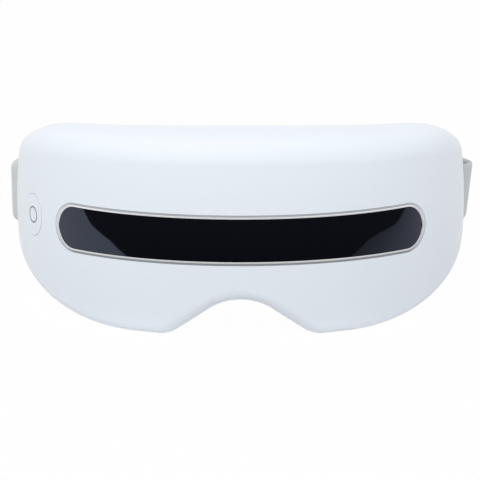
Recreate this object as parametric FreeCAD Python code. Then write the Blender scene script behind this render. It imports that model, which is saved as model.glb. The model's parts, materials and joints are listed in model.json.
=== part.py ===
import FreeCAD
import Part
import math
import os

V = FreeCAD.Vector
up = V(0, 0, 1)

# Sizes in mm and angles in degrees. x runs across the face, y back towards the
# wearer and z up; y = 0 is the widest plane of the housing, z = 0 the table.

# Housing skin: an elliptical barrel trimmed by the front outline
housing_half_width = 100.6
housing_depth = 83.4
housing_height = 86.2
barrel_bulge = 4.5
wall = 2.2
top_edge_radius = 12.0
bottom_edge_radius = 5.0
least_edge_radius = 0.8
overrun = 5.0
form_rear = 0.36 * housing_depth
reach = 140.0

# Front outline of the housing
outline_half_width = 1.006 * housing_half_width
top_corner_width = 0.3 * housing_half_width
top_corner_height = 0.2552 * housing_height
top_corner_lead = 7.0
low_corner_width = 0.545 * housing_half_width
low_corner_height = 0.4176 * housing_height
low_corner_fullness = 0.785
lobe_inner_x = 0.345 * housing_half_width
lobe_radius = 0.1508 * housing_height
notch_radius = 0.23 * housing_half_width
notch_height = 0.1937 * housing_height

# Parting surface: an upright cylinder behind the housing
part_radius = 1.33 * housing_half_width
shell_depth_middle = 0.4365 * housing_depth

# Window in the front
window_button_space = 12.55
window_half_height = 0.1067 * housing_height
window_end_length = 0.065 * housing_half_width
window_z = 0.504 * housing_height
window_pocket_depth = 2.0
window_land_margin = 1.5
window_land_thickness = 1.6
lens_recess = 0.12
lens_clearance = 0.08
trim_width = 1.7
trim_proud = 0.5
trim_chamfer = 0.45
trim_clearance = 0.08

# Power button with its ring mark, switch and board
button_x = -0.904 * housing_half_width
button_rise = 1.0
button_half_width = 7.6
button_half_height = 9.2
button_proud = 0.1
button_gap = 0.2
button_face_thickness = 1.8
button_side_thickness = 1.6
button_flange_depth = 3.3
button_flange_thickness = 1.0
button_flange_lip = 1.3
button_stem_radius = 2.2
button_stem_end = 6.0
ring_outer_radius = 3.75
ring_width = 0.65
ring_depth = 0.8
ring_clearance = 0.03
plunger_radius = 1.6
plunger_length = 1.5
plunger_clearance = 0.1
switch_depth = 6.9
switch_side = 6.2
switch_height = 3.6
switch_bore = 1.8
switch_board_width = 0.13 * housing_half_width
switch_board_height = 33.0
switch_board_thickness = 1.2
switch_post_reach = 13.6
switch_post_radius = 2.2

# Rear frame
frame_inset = 1.0
plate_thickness = 2.6
skirt_depth = 5.0
skirt_wall = 2.0
lip_depth = 3.0
lip_wall = 1.5
lip_clearance = 0.25

# Strap wings on the frame
wing_inset = 0.7
wing_thickness = 3.0
wing_inner_x = 0.85 * housing_half_width
wing_root = 4.3
wing_reach = 14.3
wing_margin = 5.0
wing_corner_radius = 4.5
slot_start = 5.0
slot_end = 9.1
slot_margin = 1.2

# Face cushion with two eye openings
cushion_rear = 17.0
cushion_inset = 1.5
cushion_narrowing = 3.5
cushion_drop = 1.3
cushion_end_x = 0.927 * housing_half_width
cushion_edge_radius = 4.0
cushion_eye_radius = 3.5
cushion_neck_gap = 0.3
cushion_neck_narrowing = 9.0
eye_x = 0.33 * housing_half_width
eye_z = 0.5336 * housing_height
eye_half_width = 0.27 * housing_half_width
eye_half_height = 0.2436 * housing_height

# Eye pads, heaters and airbags
pad_gap = 1.0
pad_thickness = 6.2
pad_edge_radius = 2.8
heater_thickness = 0.4
airbag_margin = 3.0
airbag_thickness = 4.8
airbag_gap = 0.3
airbag_edge_radius = 1.8
nozzle_radius = 1.6
nozzle_bore = 0.9
nozzle_length = 3.0
nozzle_hole = 2.0

# Head strap
strap_z = 0.5302 * housing_height
strap_width = 28.0
strap_thickness = 1.5
strap_radius = 1.05 * housing_half_width
loop_lead = 1.5
loop_distance = 11.6
loop_inner_radius = 4.6
tab_x = 0.935 * housing_half_width
tab_distance = 28.7
tab_length = 12.0
tail_gap = 0.1

# Strap slider
slider_angle = 38.0
slider_length = 16.0
slider_bar_width = 3.0
slider_bar_thickness = 1.8
slider_middle_width = 4.0
slider_end_thickness = 2.6
slider_gap = 0.35
slider_edge_radius = 0.6

# Screws that hold the frame to the shell
notch_screw_rise = 8.3
top_screw_z = 0.928 * housing_height
side_screw_x = 0.84 * housing_half_width
side_screw_high_z = 0.754 * housing_height
side_screw_low_z = 0.2784 * housing_height
lobe_screw_x = 0.4 * housing_half_width
lobe_screw_z = 0.1102 * housing_height
screw_head_radius = 2.6
screw_head_height = 1.2
screw_radius = 1.25
screw_length = 9.0
screw_recess = 0.03
screw_hole = 1.5
boss_radius = 3.0
boss_gap = 0.1
boss_hole = 1.3
boss_hole_depth = 11.0
boss_reach = 60.0
boss_clearance = 0.3

# Main board on four posts
board_half_width = 0.27 * housing_half_width
board_low_z = 0.6032 * housing_height
board_high_z = 0.8759 * housing_height
board_thickness = 1.6
board_standoff = 5.0
board_post_x = 0.23 * housing_half_width
board_post_inset = 3.2
board_post_radius = 2.4
board_screw_radius = 0.95
board_screw_hole = 1.0
board_screw_length = 5.0
board_head_radius = 1.8
board_head_height = 1.1
chip_height = 1.4
socket_height = 5.0
socket_wall = 0.8
# place and size of each on the board, as shares of its half width and its height
chip_shares = [(-0.33, 0.6, 0.33, 0.38), (0.35, 0.62, 0.22, 0.21), (0.3, 0.23, 0.15, 0.17)]
socket_shares = [(-0.48, 0.2, 0.28, 0.19), (-0.1, 0.2, 0.22, 0.19), (0.65, 0.55, 0.16, 0.32)]

# Battery in its tray
battery_x = -0.52 * housing_half_width
battery_z = 0.6729 * housing_height
battery_half_length = 0.22 * housing_half_width
battery_half_height = 0.1682 * housing_height
battery_thickness = 7.5
battery_corner_radius = 1.5
battery_lift = 0.6
battery_clearance = 0.3
tray_wall = 1.5
tray_rim = 4.0

# Air pump, standing upright
pump_x = 0.52 * housing_half_width
pump_base_z = 0.3364 * housing_height
pump_radius = 0.102 * housing_depth
pump_cap_height = 9.0
pump_disc_height = 1.2
pump_case_height = 11.0
pump_case_bore = 0.0815 * housing_depth
pump_motor_radius = 0.0935 * housing_depth
pump_motor_height = 16.0
pump_shaft_radius = 0.9
pump_shaft_clearance = 0.05
pump_shaft_seat = 2.5
pump_shaft_drop = 6.5
cam_radius = 0.05 * housing_depth
cam_offset = 1.2
cam_thickness = 3.6
saddle_width = 17.0
saddle_height = 3.4
saddle_setback = 2.0
saddle_clearance = 0.1
case_saddle_rise = 3.3
motor_saddle_rise = 7.8

# Air line: tubes, tees and the release valve
air_z = 0.3944 * housing_height
tube_outer_radius = 2.5
tube_plate_gap = 1.6
barb_clearance = 0.05
tee_half_length = 4.0
barb_length = 2.0
elbow_radius = 5.0
valve_half_width = 6.0
valve_half_depth = 4.0
valve_low_z = 0.493 * housing_height
valve_high_z = 0.5916 * housing_height
valve_bore = 2.2
valve_floor = 1.5
valve_plunger_radius = 2.1
valve_travel = 1.0
valve_rest_gap = 0.3
valve_plunger_drop = 1.2

# Vibration motors, upright beside the lobes
buzzer_x = 0.72 * housing_half_width
buzzer_distance = 5.0
buzzer_low_z = 0.1392 * housing_height
buzzer_length = 10.0
buzzer_radius = 3.0
buzzer_shaft_radius = 0.5
buzzer_shaft_clearance = 0.05
buzzer_shaft_seat = 2.0
buzzer_gap = 1.0
weight_radius = 2.7
weight_length = 3.5
weight_hub_radius = 1.1
cradle_half_width = 4.6
cradle_end = 1.5
cradle_clearance = 0.05

# Charging board with its port, low on the wearer's left
port_x = 0.54 * housing_half_width
port_half_width = 4.47
port_half_height = 1.6
port_skin = 0.32
port_length = 7.4
port_floor = 0.9
port_mouth_z = 0.4
port_clearance = 0.35
tongue_half_width = 3.35
tongue_half_height = 0.35
tongue_length = 5.0
charge_board_half_width = 0.09 * housing_half_width
charge_board_low_z = 4.0
charge_board_high_z = 21.0
charge_board_thickness = 1.2
charge_standoff = 3.0
charge_post_z = 17.0
charge_post_x = 0.055 * housing_half_width
charge_post_radius = 2.2

mid_height = housing_height / 2
part_front_y = shell_depth_middle - housing_depth
part_centre_y = part_front_y + part_radius
window_half_length = -button_x - window_button_space
button_z = window_z + button_rise
airbag_rear = plate_thickness + airbag_thickness
heater_front = airbag_rear + airbag_gap
heater_rear = heater_front + heater_thickness
pad_rear = heater_rear + pad_thickness
side_y = part_centre_y - math.sqrt(part_radius ** 2 - housing_half_width ** 2)
pump_lean = math.sqrt(1 - (pump_x / part_radius) ** 2)
pump_distance = ((1 - pump_lean) * part_radius + tube_outer_radius + tube_plate_gap) / pump_lean
strap_half = strap_width / 2
wing_front_y = side_y - wing_root
wing_rear_y = side_y + wing_reach
wing_half_height = strap_half + wing_margin
loop_y = side_y + loop_distance
tab_y = side_y + tab_distance
wing_skin = wing_inset + wing_thickness / 2
wing_fall = math.sqrt(1 - (loop_y / (housing_depth - wing_skin)) ** 2)
loop_x = (housing_half_width - wing_skin) * wing_fall + loop_lead
strap_skin = strap_thickness / 2
strap_centre_y = tab_y - math.sqrt(strap_radius ** 2 - tab_x ** 2)
strap_rear_y = strap_centre_y + strap_radius + strap_skin
front_y = -housing_depth - trim_proud
origin_y = (front_y + strap_rear_y) / 2
known_forms = {}


def bar(start, end):
    return Part.LineSegment(start, end).toShape()


def bend(start, middle, end):
    return Part.Arc(start, middle, end).toShape()


def mirrored(shape):
    return shape.mirror(V(0, 0, 0), V(1, 0, 0))


def rod(radius, start, end):
    axis = end - start
    return Part.makeCylinder(radius, axis.Length, start, axis)


def pipe(radius, bore, start, end):
    return rod(radius, start, end).cut(rod(bore, start, end))


def block(low, high):
    size = high - low
    return Part.makeBox(size.x, size.y, size.z, low)


def barrel(inset):
    half_width = housing_half_width - inset
    low = -overrun
    high = housing_height + overrun
    lean = barrel_bulge * ((low - mid_height) / mid_height) ** 2
    foot = V(0, half_width - lean, low)
    crown = V(0, half_width - lean, high)
    side = bend(foot, V(0, half_width, mid_height), crown)
    base = V(0, 0, low)
    peak = V(0, 0, high)
    profile = Part.Wire([bar(base, foot), side, bar(crown, peak), bar(peak, base)])
    turned = Part.Face(profile).revolve(V(0, 0, 0), up, 360)
    squash = FreeCAD.Matrix()
    squash.scale(1, (housing_depth - inset) / half_width, 1)
    return turned.transformGeometry(squash)


def ellipse_arc(centre, width, height, start, end):
    major = centre + V(width, 0, 0)
    minor = centre + V(0, 0, height)
    whole = Part.Ellipse(major, minor, centre)
    return Part.ArcOfEllipse(whole, math.radians(start), math.radians(end)).toShape()


def full_corner(centre, width, height):
    end = centre + V(width, 0, 0)
    curve = Part.BezierCurve()
    curve.setPoles([centre - up * height, end - up * height, end])
    curve.setWeight(2, low_corner_fullness)
    return curve.toShape()


def outline(inset, narrowing=0, drop=0):
    lead = math.radians(top_corner_lead)
    side_x = outline_half_width - narrowing
    corner_x = side_x - top_corner_width
    slope = math.atan(top_corner_height / top_corner_width * math.tan(lead))
    arch_x = outline_half_width - top_corner_width + top_corner_width * math.sin(lead)
    arch_rise = arch_x * math.tan(slope / 2)
    corner_z = housing_height - arch_rise - top_corner_height * math.cos(lead)
    corner_width = top_corner_width - inset
    corner_height = top_corner_height - inset
    corner = V(corner_x, 0, corner_z)
    top_corner = ellipse_arc(corner, corner_width, corner_height, 0, 90 - top_corner_lead)
    slope = math.atan(corner_height / corner_width * math.tan(lead))
    arch_end = corner + V(corner_width * math.sin(lead), 0, corner_height * math.cos(lead))
    apex = V(0, 0, arch_end.z + arch_end.x * math.tan(slope / 2))
    arch = bend(arch_end, apex, V(-arch_end.x, 0, arch_end.z))

    low = V(side_x - low_corner_width, 0, low_corner_height)
    low_corner = full_corner(low, low_corner_width - inset, low_corner_height - inset)
    side = bar(V(side_x - inset, 0, low.z), V(side_x - inset, 0, corner.z))
    flat_end = V(lobe_inner_x, 0, inset)
    flat = bar(flat_end, V(low.x, 0, inset))

    notch = V(0, 0, notch_height - notch_radius)
    lobe = V(lobe_inner_x, 0, lobe_radius)
    gap = lobe - notch
    fall = math.atan2(gap.z, gap.x) - math.asin((notch_radius + lobe_radius) / gap.Length)
    square = V(-math.sin(fall), 0, math.cos(fall))
    notch_end = notch + square * (notch_radius + inset)
    lobe_end = lobe - square * (lobe_radius - inset)
    half_fall = fall / 2
    lobe_middle = lobe - V(-math.sin(half_fall), 0, math.cos(half_fall)) * (lobe_radius - inset)
    lobe_arc = bend(lobe_end, lobe_middle, flat_end)
    flank = bar(notch_end, lobe_end)
    notch_top = notch + up * (notch_radius + inset)
    notch_arc = bend(notch_end, notch_top, V(-notch_end.x, 0, notch_end.z))

    half = [top_corner, side, low_corner, flat, lobe_arc, flank]
    edges = half + [mirrored(edge) for edge in half] + [arch, notch_arc]
    ring = Part.Wire(Part.__sortEdges__(edges))
    ring.translate(V(0, 0, -drop))
    return ring


def through(ring, front=-reach, rear=reach):
    face = Part.Face(ring)
    face.translate(V(0, front, 0))
    return face.extrude(V(0, rear - front, 0))


def skin_edges(form, upper):
    skin = max(form.Faces, key=lambda face: face.Area)
    chain = []
    for edge in skin.Edges:
        box = edge.BoundBox
        is_upper = box.ZMin > mid_height
        is_lower = box.ZMax < mid_height
        if box.YMin < 0 and (is_upper if upper else is_lower):
            chain.append(edge)
    return chain


def housing_form(inset):
    if inset not in known_forms:
        form = barrel(inset).common(through(outline(inset), -reach, form_rear)).Solids[0]
        form = form.makeFillet(top_edge_radius - inset, skin_edges(form, True))
        low_radius = max(bottom_edge_radius - inset, least_edge_radius)
        known_forms[inset] = form.makeFillet(low_radius, skin_edges(form, False))
    return known_forms[inset]


def behind(depth):
    base = V(0, part_centre_y, -overrun)
    return Part.makeCylinder(part_radius - depth, housing_height + 2 * overrun, base)


def layer(front, rear):
    return behind(front).cut(behind(rear))


def on_plate(shape, x):
    turn = math.asin(x / part_radius)
    spot = V(x, part_centre_y - part_radius * math.cos(turn), 0)
    placed = shape.copy()
    placed.Placement = FreeCAD.Placement(spot, FreeCAD.Rotation(up, math.degrees(turn)))
    return placed


def plate_spot(x, distance):
    turn = math.asin(x / part_radius)
    out = part_radius + distance
    return V(out * math.sin(turn), part_centre_y - out * math.cos(turn), 0)


def window_ring(margin):
    end = window_end_length + margin
    height = window_half_height + margin
    straight = window_half_length - window_end_length
    low = window_z - height
    high = window_z + height
    tip = window_half_length + margin
    upper = ellipse_quarters(straight, tip, end, height)
    top = bar(V(-straight, 0, high), V(straight, 0, high))
    bottom = bar(V(-straight, 0, low), V(straight, 0, low))
    return Part.Wire(Part.__sortEdges__([top, bottom] + upper))


def ellipse_quarters(straight, tip, end, height):
    centre = V(straight, 0, window_z)
    wide = end >= height
    major = centre + (V(end, 0, 0) if wide else V(0, 0, height))
    minor = centre + (V(0, 0, height) if wide else V(-end, 0, 0))
    whole = Part.Ellipse(major, minor, centre)
    start = whole.parameter(centre - up * height)
    finish = whole.parameter(centre + up * height)
    right = Part.ArcOfEllipse(whole, start, finish).toShape()
    return [right, mirrored(right)]


def window_prism(margin):
    return through(window_ring(margin), -reach, -overrun)


def screw_spots():
    spots = [(0, notch_height + notch_screw_rise), (0, top_screw_z)]
    for side in (-1, 1):
        spots.append((side * side_screw_x, side_screw_high_z))
        spots.append((side * side_screw_x, side_screw_low_z))
        spots.append((side * lobe_screw_x, lobe_screw_z))
    return spots


def plate_rod(radius, x, z, start, end):
    return on_plate(rod(radius, V(0, -start, z), V(0, -end, z)), x)


button_turn = math.asin(button_x / housing_half_width)
button_spot = V(button_x, -housing_depth * math.cos(button_turn), button_z)
button_in = V(-button_x / housing_half_width ** 2, -button_spot.y / housing_depth ** 2, 0).normalize()
button_along = button_in.cross(up)


def on_button(depth, across=0, above=0):
    return button_spot + button_in * depth + button_along * across + up * above


def button_block(half_across, half_above, start, end):
    corners = [(-1, -1), (1, -1), (1, 1), (-1, 1)]
    points = [on_button(start, a * half_across, b * half_above) for a, b in corners]
    face = Part.Face(Part.makePolygon(points + points[:1]))
    return face.extrude(button_in * (end - start))


def button_oval(margin, start, end):
    top = on_button(start, 0, button_half_height + margin)
    side = on_button(start, button_half_width + margin)
    ring = Part.Ellipse(top, side, on_button(start))
    face = Part.Face(Part.Wire([ring.toShape()]))
    return face.extrude(button_in * (end - start))


switch_rear = switch_depth + switch_height
switch_board_rear = switch_rear + switch_board_thickness


def front_shell():
    inner = housing_form(wall)
    shell = housing_form(0).cut(inner)
    land = barrel(wall / 2).cut(barrel(wall + window_land_thickness))
    shell = shell.fuse(land.common(window_prism(trim_width + window_land_margin)))
    shell = shell.cut(barrel(-overrun).cut(barrel(window_pocket_depth)).common(
        window_prism(trim_width + trim_clearance)))
    core = housing_form(wall / 2)
    posts = [plate_rod(boss_radius, x, z, boss_gap, boss_reach) for x, z in screw_spots()]
    for side in (-1, 1):
        spot = on_button(0, 0, side * switch_post_reach)
        posts.append(rod(switch_post_radius, spot, spot + button_in * switch_rear))
    shell = shell.fuse([post.common(core) for post in posts])
    holes = [plate_rod(boss_hole, x, z, 0, boss_hole_depth) for x, z in screw_spots()]
    for side in (-1, 1):
        spot = on_button(switch_rear, 0, side * switch_post_reach)
        holes.append(rod(board_screw_hole, spot - button_in * board_screw_length, spot))
    holes.append(button_oval(button_gap, -overrun, button_flange_depth))
    holes.append(port_prism(port_clearance, -overrun, port_length))
    return shell.cut(behind(0)).cut(holes)


def window_trim():
    ring = window_prism(trim_width).cut(window_prism(0))
    trim = barrel(-trim_proud).cut(barrel(window_pocket_depth)).common(ring).Solids[0]
    rims = [part for part in trim.Faces if len(part.Wires) > 1]
    front = min(rims, key=lambda part: part.CenterOfMass.y)
    return trim.makeChamfer(trim_chamfer, front.Edges)


def window_lens():
    skin = barrel(lens_recess).cut(barrel(window_pocket_depth))
    return skin.common(window_prism(-lens_clearance))


def power_button():
    flange_end = button_flange_depth + button_flange_thickness
    cap = button_oval(0, -overrun, flange_end)
    cap = cap.fuse(button_oval(button_flange_lip, button_flange_depth, flange_end))
    cap = cap.cut(button_oval(-button_side_thickness, button_face_thickness, flange_end))
    cap = cap.fuse(rod(button_stem_radius, on_button(button_face_thickness), on_button(button_stem_end)))
    cap = cap.common(barrel(-button_proud))
    groove = pipe(ring_outer_radius + ring_clearance, ring_outer_radius - ring_width - ring_clearance,
                  on_button(-overrun), on_button(ring_depth))
    return cap.cut(groove)


def ring_light_guide():
    ring = pipe(ring_outer_radius, ring_outer_radius - ring_width, on_button(-overrun), on_button(ring_depth))
    return ring.common(barrel(-button_proud))


def switch_plunger():
    return rod(plunger_radius, on_button(button_stem_end), on_button(button_stem_end + plunger_length))


def tact_switch():
    body = button_block(switch_side / 2, switch_side / 2, switch_depth, switch_rear)
    bore_end = switch_rear - plunger_clearance
    return body.cut(rod(switch_bore, on_button(switch_depth), on_button(bore_end)))


def switch_board():
    board = button_block(switch_board_width / 2, switch_board_height / 2, switch_rear, switch_board_rear)
    for side in (-1, 1):
        above = side * switch_post_reach
        board = board.cut(rod(board_screw_hole, on_button(switch_rear, 0, above),
                              on_button(switch_board_rear, 0, above)))
    return board


def strap_wing():
    low = strap_z - wing_half_height
    high = strap_z + wing_half_height
    wing = block(V(wing_inner_x, wing_front_y, low), V(reach, wing_rear_y, high))
    rear = [edge for edge in wing.Edges if edge.BoundBox.YMin > wing_front_y
            and edge.BoundBox.XLength > 0]
    wing = wing.makeFillet(wing_corner_radius, rear)
    wing = wing.common(barrel(wing_inset).cut(barrel(wing_inset + wing_thickness)))
    return wing.common(behind(0))


def strap_slot():
    half = strap_half + slot_margin
    return block(V(wing_inner_x, side_y + slot_start, strap_z - half),
                 V(reach, side_y + slot_end, strap_z + half))


def battery_tray():
    side = battery_half_length + battery_clearance
    tall = battery_half_height + battery_clearance
    low = V(-side, -battery_lift - battery_thickness, battery_z - tall)
    bed = block(low, V(side, -battery_lift, battery_z + tall))
    rim = -battery_lift - tray_rim
    out = V(tray_wall, 0, tray_wall)
    tray = block(V(low.x, rim, low.z) - out, V(side, plate_thickness, battery_z + tall) + out)
    return on_plate(tray.cut(bed), battery_x)


def pump_rod(radius, low, high, x=0, y=0):
    centre = plate_spot(pump_x, pump_distance) + V(x, y, 0)
    return rod(radius, centre + up * low, centre + up * high)


def pump_saddle(z, radius):
    low = V(-saddle_width / 2, saddle_setback - pump_distance, z)
    saddle = block(low, V(saddle_width / 2, plate_thickness, z + saddle_height))
    return on_plate(saddle, pump_x).cut(pump_rod(radius + saddle_clearance, z, z + saddle_height))


def buzzer_rod(radius, low, high):
    centre = plate_spot(buzzer_x, buzzer_distance)
    return rod(radius, centre + up * low, centre + up * high)


def buzzer_cradle():
    low = V(-cradle_half_width, -buzzer_distance, buzzer_low_z + cradle_end)
    high = V(cradle_half_width, plate_thickness, buzzer_low_z + buzzer_length - cradle_end)
    cradle = on_plate(block(low, high), buzzer_x)
    return cradle.cut(buzzer_rod(buzzer_radius + cradle_clearance, low.z, high.z))


def board_post_spots():
    spots = []
    for x in (-board_post_x, board_post_x):
        spots.append(V(x, 0, board_low_z + board_post_inset))
        spots.append(V(x, 0, board_high_z - board_post_inset))
    return spots


def board_rod(radius, spot, front, rear):
    return rod(radius, V(spot.x, front, spot.z), V(spot.x, rear, spot.z))


board_rear_y = part_front_y - board_standoff
board_front_y = board_rear_y - board_thickness


def charge_posts():
    posts = []
    for x in (-charge_post_x, charge_post_x):
        foot = V(x, plate_thickness, charge_post_z)
        posts.append(on_plate(rod(charge_post_radius, foot, V(x, -charge_standoff, charge_post_z)), port_x))
    return posts


def charge_holes(front, rear, radius):
    holes = []
    for x in (-charge_post_x, charge_post_x):
        holes.append(on_plate(rod(radius, V(x, -front, charge_post_z), V(x, -rear, charge_post_z)), port_x))
    return holes


def rear_frame():
    outer = housing_form(frame_inset)
    plate = layer(0, plate_thickness).common(outer)
    skirt = layer(0, skirt_depth).common(outer.cut(housing_form(frame_inset + skirt_wall)))
    lip_inset = wall + lip_clearance
    lip = layer(-lip_depth, 0).common(housing_form(lip_inset).cut(housing_form(lip_inset + lip_wall)))
    lip = lip.cut([plate_rod(boss_radius + boss_clearance, x, z, 0, boss_reach) for x, z in screw_spots()])
    supports = [battery_tray(), buzzer_cradle(), mirrored(buzzer_cradle())]
    supports.append(pump_saddle(pump_case_z + case_saddle_rise, pump_radius))
    supports.append(pump_saddle(pump_motor_z + motor_saddle_rise, pump_motor_radius))
    supports += [board_rod(board_post_radius, spot, board_rear_y, part_front_y + overrun)
                 for spot in board_post_spots()]
    supports += charge_posts()
    supports = [part.cut(behind(plate_thickness / 2)) for part in supports]
    wing = strap_wing()
    frame = plate.fuse([skirt, lip, wing, mirrored(wing)] + supports)
    cuts = [strap_slot(), mirrored(strap_slot())]
    for x, z in screw_spots():
        cuts.append(plate_rod(screw_hole, x, z, overrun, -overrun))
        seat = screw_head_height + screw_recess - plate_thickness
        cuts.append(plate_rod(screw_head_radius + boss_gap, x, z, seat, -overrun))
    for spot in board_post_spots():
        cuts.append(board_rod(board_screw_hole, spot, board_rear_y, board_rear_y + board_screw_length))
    cuts += charge_holes(charge_standoff, -plate_thickness / 2, board_screw_hole)
    for x in (-eye_x, eye_x):
        cuts.append(rod(nozzle_hole, V(x, -reach, air_z), V(x, 0, air_z)))
    return frame.cut(cuts)


def cushion_plan():
    front = part_radius - skirt_depth
    rear = part_radius - cushion_rear
    middle = (front + rear) / 2
    tip = (front - rear) / 2
    turn = math.asin((cushion_end_x - tip) / middle)

    def at(radius, angle):
        return V(radius * math.sin(angle), part_centre_y - radius * math.cos(angle), 0)

    ends = []
    for side in (-1, 1):
        tangent = V(math.cos(turn) * side, math.sin(turn), 0)
        ends.append(bend(at(front, side * turn), at(middle, side * turn) + tangent * tip, at(rear, side * turn)))
    arcs = [bend(at(radius, -turn), at(radius, 0), at(radius, turn)) for radius in (front, rear)]
    return Part.Face(Part.Wire(Part.__sortEdges__(ends + arcs)))


def eye_prism(shrink, x=eye_x):
    width = eye_half_width - shrink
    height = eye_half_height - shrink
    centre = V(x, -reach, eye_z)
    whole = Part.Ellipse(centre + V(width, 0, 0), centre + V(0, 0, height), centre)
    return Part.Face(Part.Wire(whole.toShape())).extrude(V(0, 2 * reach, 0))


def face_cushion():
    plan = cushion_plan()
    plan.translate(V(0, 0, -overrun))
    body = plan.extrude(V(0, 0, housing_height + 2 * overrun))
    body = body.common(through(outline(cushion_inset, cushion_narrowing, cushion_drop))).Solids[0]
    upright = [face for face in body.Faces if is_upright(face)]
    upright_edges = [edge for face in upright for edge in face.Edges]
    rims = [edge for edge in upright_edges if sum(edge.isSame(other) for other in upright_edges) == 1]
    body = body.makeFillet(cushion_edge_radius, rims)
    openings = [eye_prism(0), eye_prism(0, -eye_x)]
    body = body.cut(openings).Solids[0]
    closed = sorted((edge for edge in body.Edges if edge.isClosed()), key=lambda edge: edge.CenterOfMass.y)
    body = body.makeFillet(cushion_eye_radius, closed[-len(openings):])
    neck_inset = frame_inset + skirt_wall + cushion_neck_gap
    neck = layer(plate_thickness, skirt_depth).common(
        through(outline(neck_inset, cushion_neck_narrowing)))
    return body.fuse(neck.cut(openings))


def is_upright(face):
    low, high, start, end = face.ParameterRange
    for across in (low, (low + high) / 2, high):
        if abs(face.normalAt(across, (start + end) / 2).z) > 1e-6:
            return False
    return True


def eye_piece(front, rear, shrink, edge_radius):
    piece = layer(front, rear).common(eye_prism(shrink)).Solids[0]
    if edge_radius:
        curved = [face for face in piece.Faces if face.Surface.TypeId == "Part::GeomCylinder"]
        if edge_radius == pad_edge_radius:
            curved = [max(curved, key=lambda face: face.CenterOfMass.y)]
        edges = [edge for face in curved for edge in face.Edges]
        piece = piece.makeFillet(edge_radius, edges)
    return piece


def airbag():
    bag = eye_piece(plate_thickness, airbag_rear, airbag_margin, airbag_edge_radius)
    tip_y = plate_spot(eye_x, 0).y - nozzle_length
    bag = bag.fuse(rod(nozzle_radius, V(eye_x, tip_y, air_z), V(eye_x, tip_y + nozzle_length + overrun, air_z)))
    return bag.cut(rod(nozzle_bore, V(eye_x, tip_y, air_z), V(eye_x, tip_y + nozzle_length, air_z)))


def strap_point(radius, angle):
    return V(radius * math.sin(angle), strap_centre_y + radius * math.cos(angle), 0)


def strap_sector(inner, outer, start, end, low, high):
    middle = (start + end) / 2
    near = bend(strap_point(inner, start), strap_point(inner, middle), strap_point(inner, end))
    far = bend(strap_point(outer, start), strap_point(outer, middle), strap_point(outer, end))
    sides = [bar(strap_point(inner, angle), strap_point(outer, angle)) for angle in (start, end)]
    face = Part.Face(Part.Wire(Part.__sortEdges__([near, far] + sides)))
    face.translate(up * low)
    return face.extrude(up * (high - low))


def strap_loop():
    centre = V(loop_x, loop_y, 0)
    tab = V(tab_x, tab_y, 0)
    away = tab - centre
    spread = math.acos(loop_inner_radius / away.Length)
    heading = math.atan2(away.y, away.x)
    faces = []
    for skin in (strap_thickness, 0):
        radius = loop_inner_radius + skin
        outs = [V(math.cos(heading + side * spread), math.sin(heading + side * spread), 0) for side in (1, -1)]
        grips = [centre + out * radius for out in outs]
        far = centre - V(away).normalize() * radius
        edges = [bend(grips[0], far, grips[1])]
        if skin:
            ends = [tab + out * skin for out in outs]
            edges += [bar(grips[1], ends[1]), bar(ends[1], ends[0]), bar(ends[0], grips[0])]
        else:
            edges += [bar(grips[1], tab), bar(tab, grips[0])]
        faces.append(Part.Face(Part.Wire(edges)))
    loop = faces[0].cut(faces[1])
    loop.translate(up * (strap_z - strap_half))
    return loop.extrude(up * strap_width)


tab_angle = math.asin(tab_x / strap_radius)
tab_end_angle = tab_angle - tab_length / strap_radius
slider_middle = math.radians(slider_angle)
slider_half = slider_length / 2 / strap_radius
slider_core = slider_middle_width / 2 / strap_radius


def head_strap():
    low = strap_z - strap_half
    high = strap_z + strap_half
    inner = strap_radius - strap_skin
    outer = strap_radius + strap_skin
    band = strap_sector(inner, outer, -tab_angle, tab_angle, low, high)
    tab = strap_sector(inner - strap_skin, outer + strap_skin, tab_end_angle, tab_angle, low, high)
    loop = strap_loop().fuse(tab)
    return band.fuse([loop, mirrored(loop)]).removeSplitter()


def strap_tail():
    outer = strap_radius - strap_skin - tail_gap
    start = slider_middle + slider_core + slider_gap / strap_radius
    end = tab_end_angle - slider_gap / strap_radius
    low = strap_z - strap_half
    return strap_sector(outer - strap_thickness, outer, start, end, low, low + strap_width)


def strap_slider():
    low = strap_z - strap_half - slider_gap
    high = strap_z + strap_half + slider_gap
    inner = strap_radius - strap_skin - slider_gap
    outer = strap_radius + strap_skin + slider_gap
    bar_turn = slider_bar_width / strap_radius
    start = slider_middle - slider_half
    end = slider_middle + slider_half
    rim = outer + slider_bar_thickness
    pieces = [strap_sector(outer, rim, start, start + bar_turn, low, high),
              strap_sector(outer, rim, end - bar_turn, end, low, high)]
    core = inner - slider_bar_thickness
    pieces.append(strap_sector(core, inner, slider_middle - slider_core, slider_middle + slider_core, low, high))
    ends = [strap_sector(core, rim, start, end, low - slider_end_thickness, low),
            strap_sector(core, rim, start, end, high, high + slider_end_thickness)]
    ends = [part.makeFillet(slider_edge_radius, part.Edges) for part in ends]
    return ends[0].fuse(pieces + ends[1:])


def frame_screws():
    seat = screw_recess - plate_thickness
    screws = []
    for x, z in screw_spots():
        head = plate_rod(screw_head_radius, x, z, seat, seat + screw_head_height)
        screws.append(head.fuse(plate_rod(screw_radius, x, z, seat, seat + screw_length)))
    return Part.makeCompound(screws)


def board_screw(head_spot, inward):
    head = rod(board_head_radius, head_spot - inward * board_head_height, head_spot)
    return head.fuse(rod(board_screw_radius, head_spot, head_spot + inward * board_screw_length))


def board_screws():
    screws = [board_screw(V(spot.x, board_front_y, spot.z), V(0, 1, 0)) for spot in board_post_spots()]
    for side in (-1, 1):
        screws.append(board_screw(on_button(switch_board_rear, 0, side * switch_post_reach), -button_in))
    front = -charge_standoff - charge_board_thickness
    for x in (-charge_post_x, charge_post_x):
        screws.append(on_plate(board_screw(V(x, front, charge_post_z), V(0, 1, 0)), port_x))
    return Part.makeCompound(screws)


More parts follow.
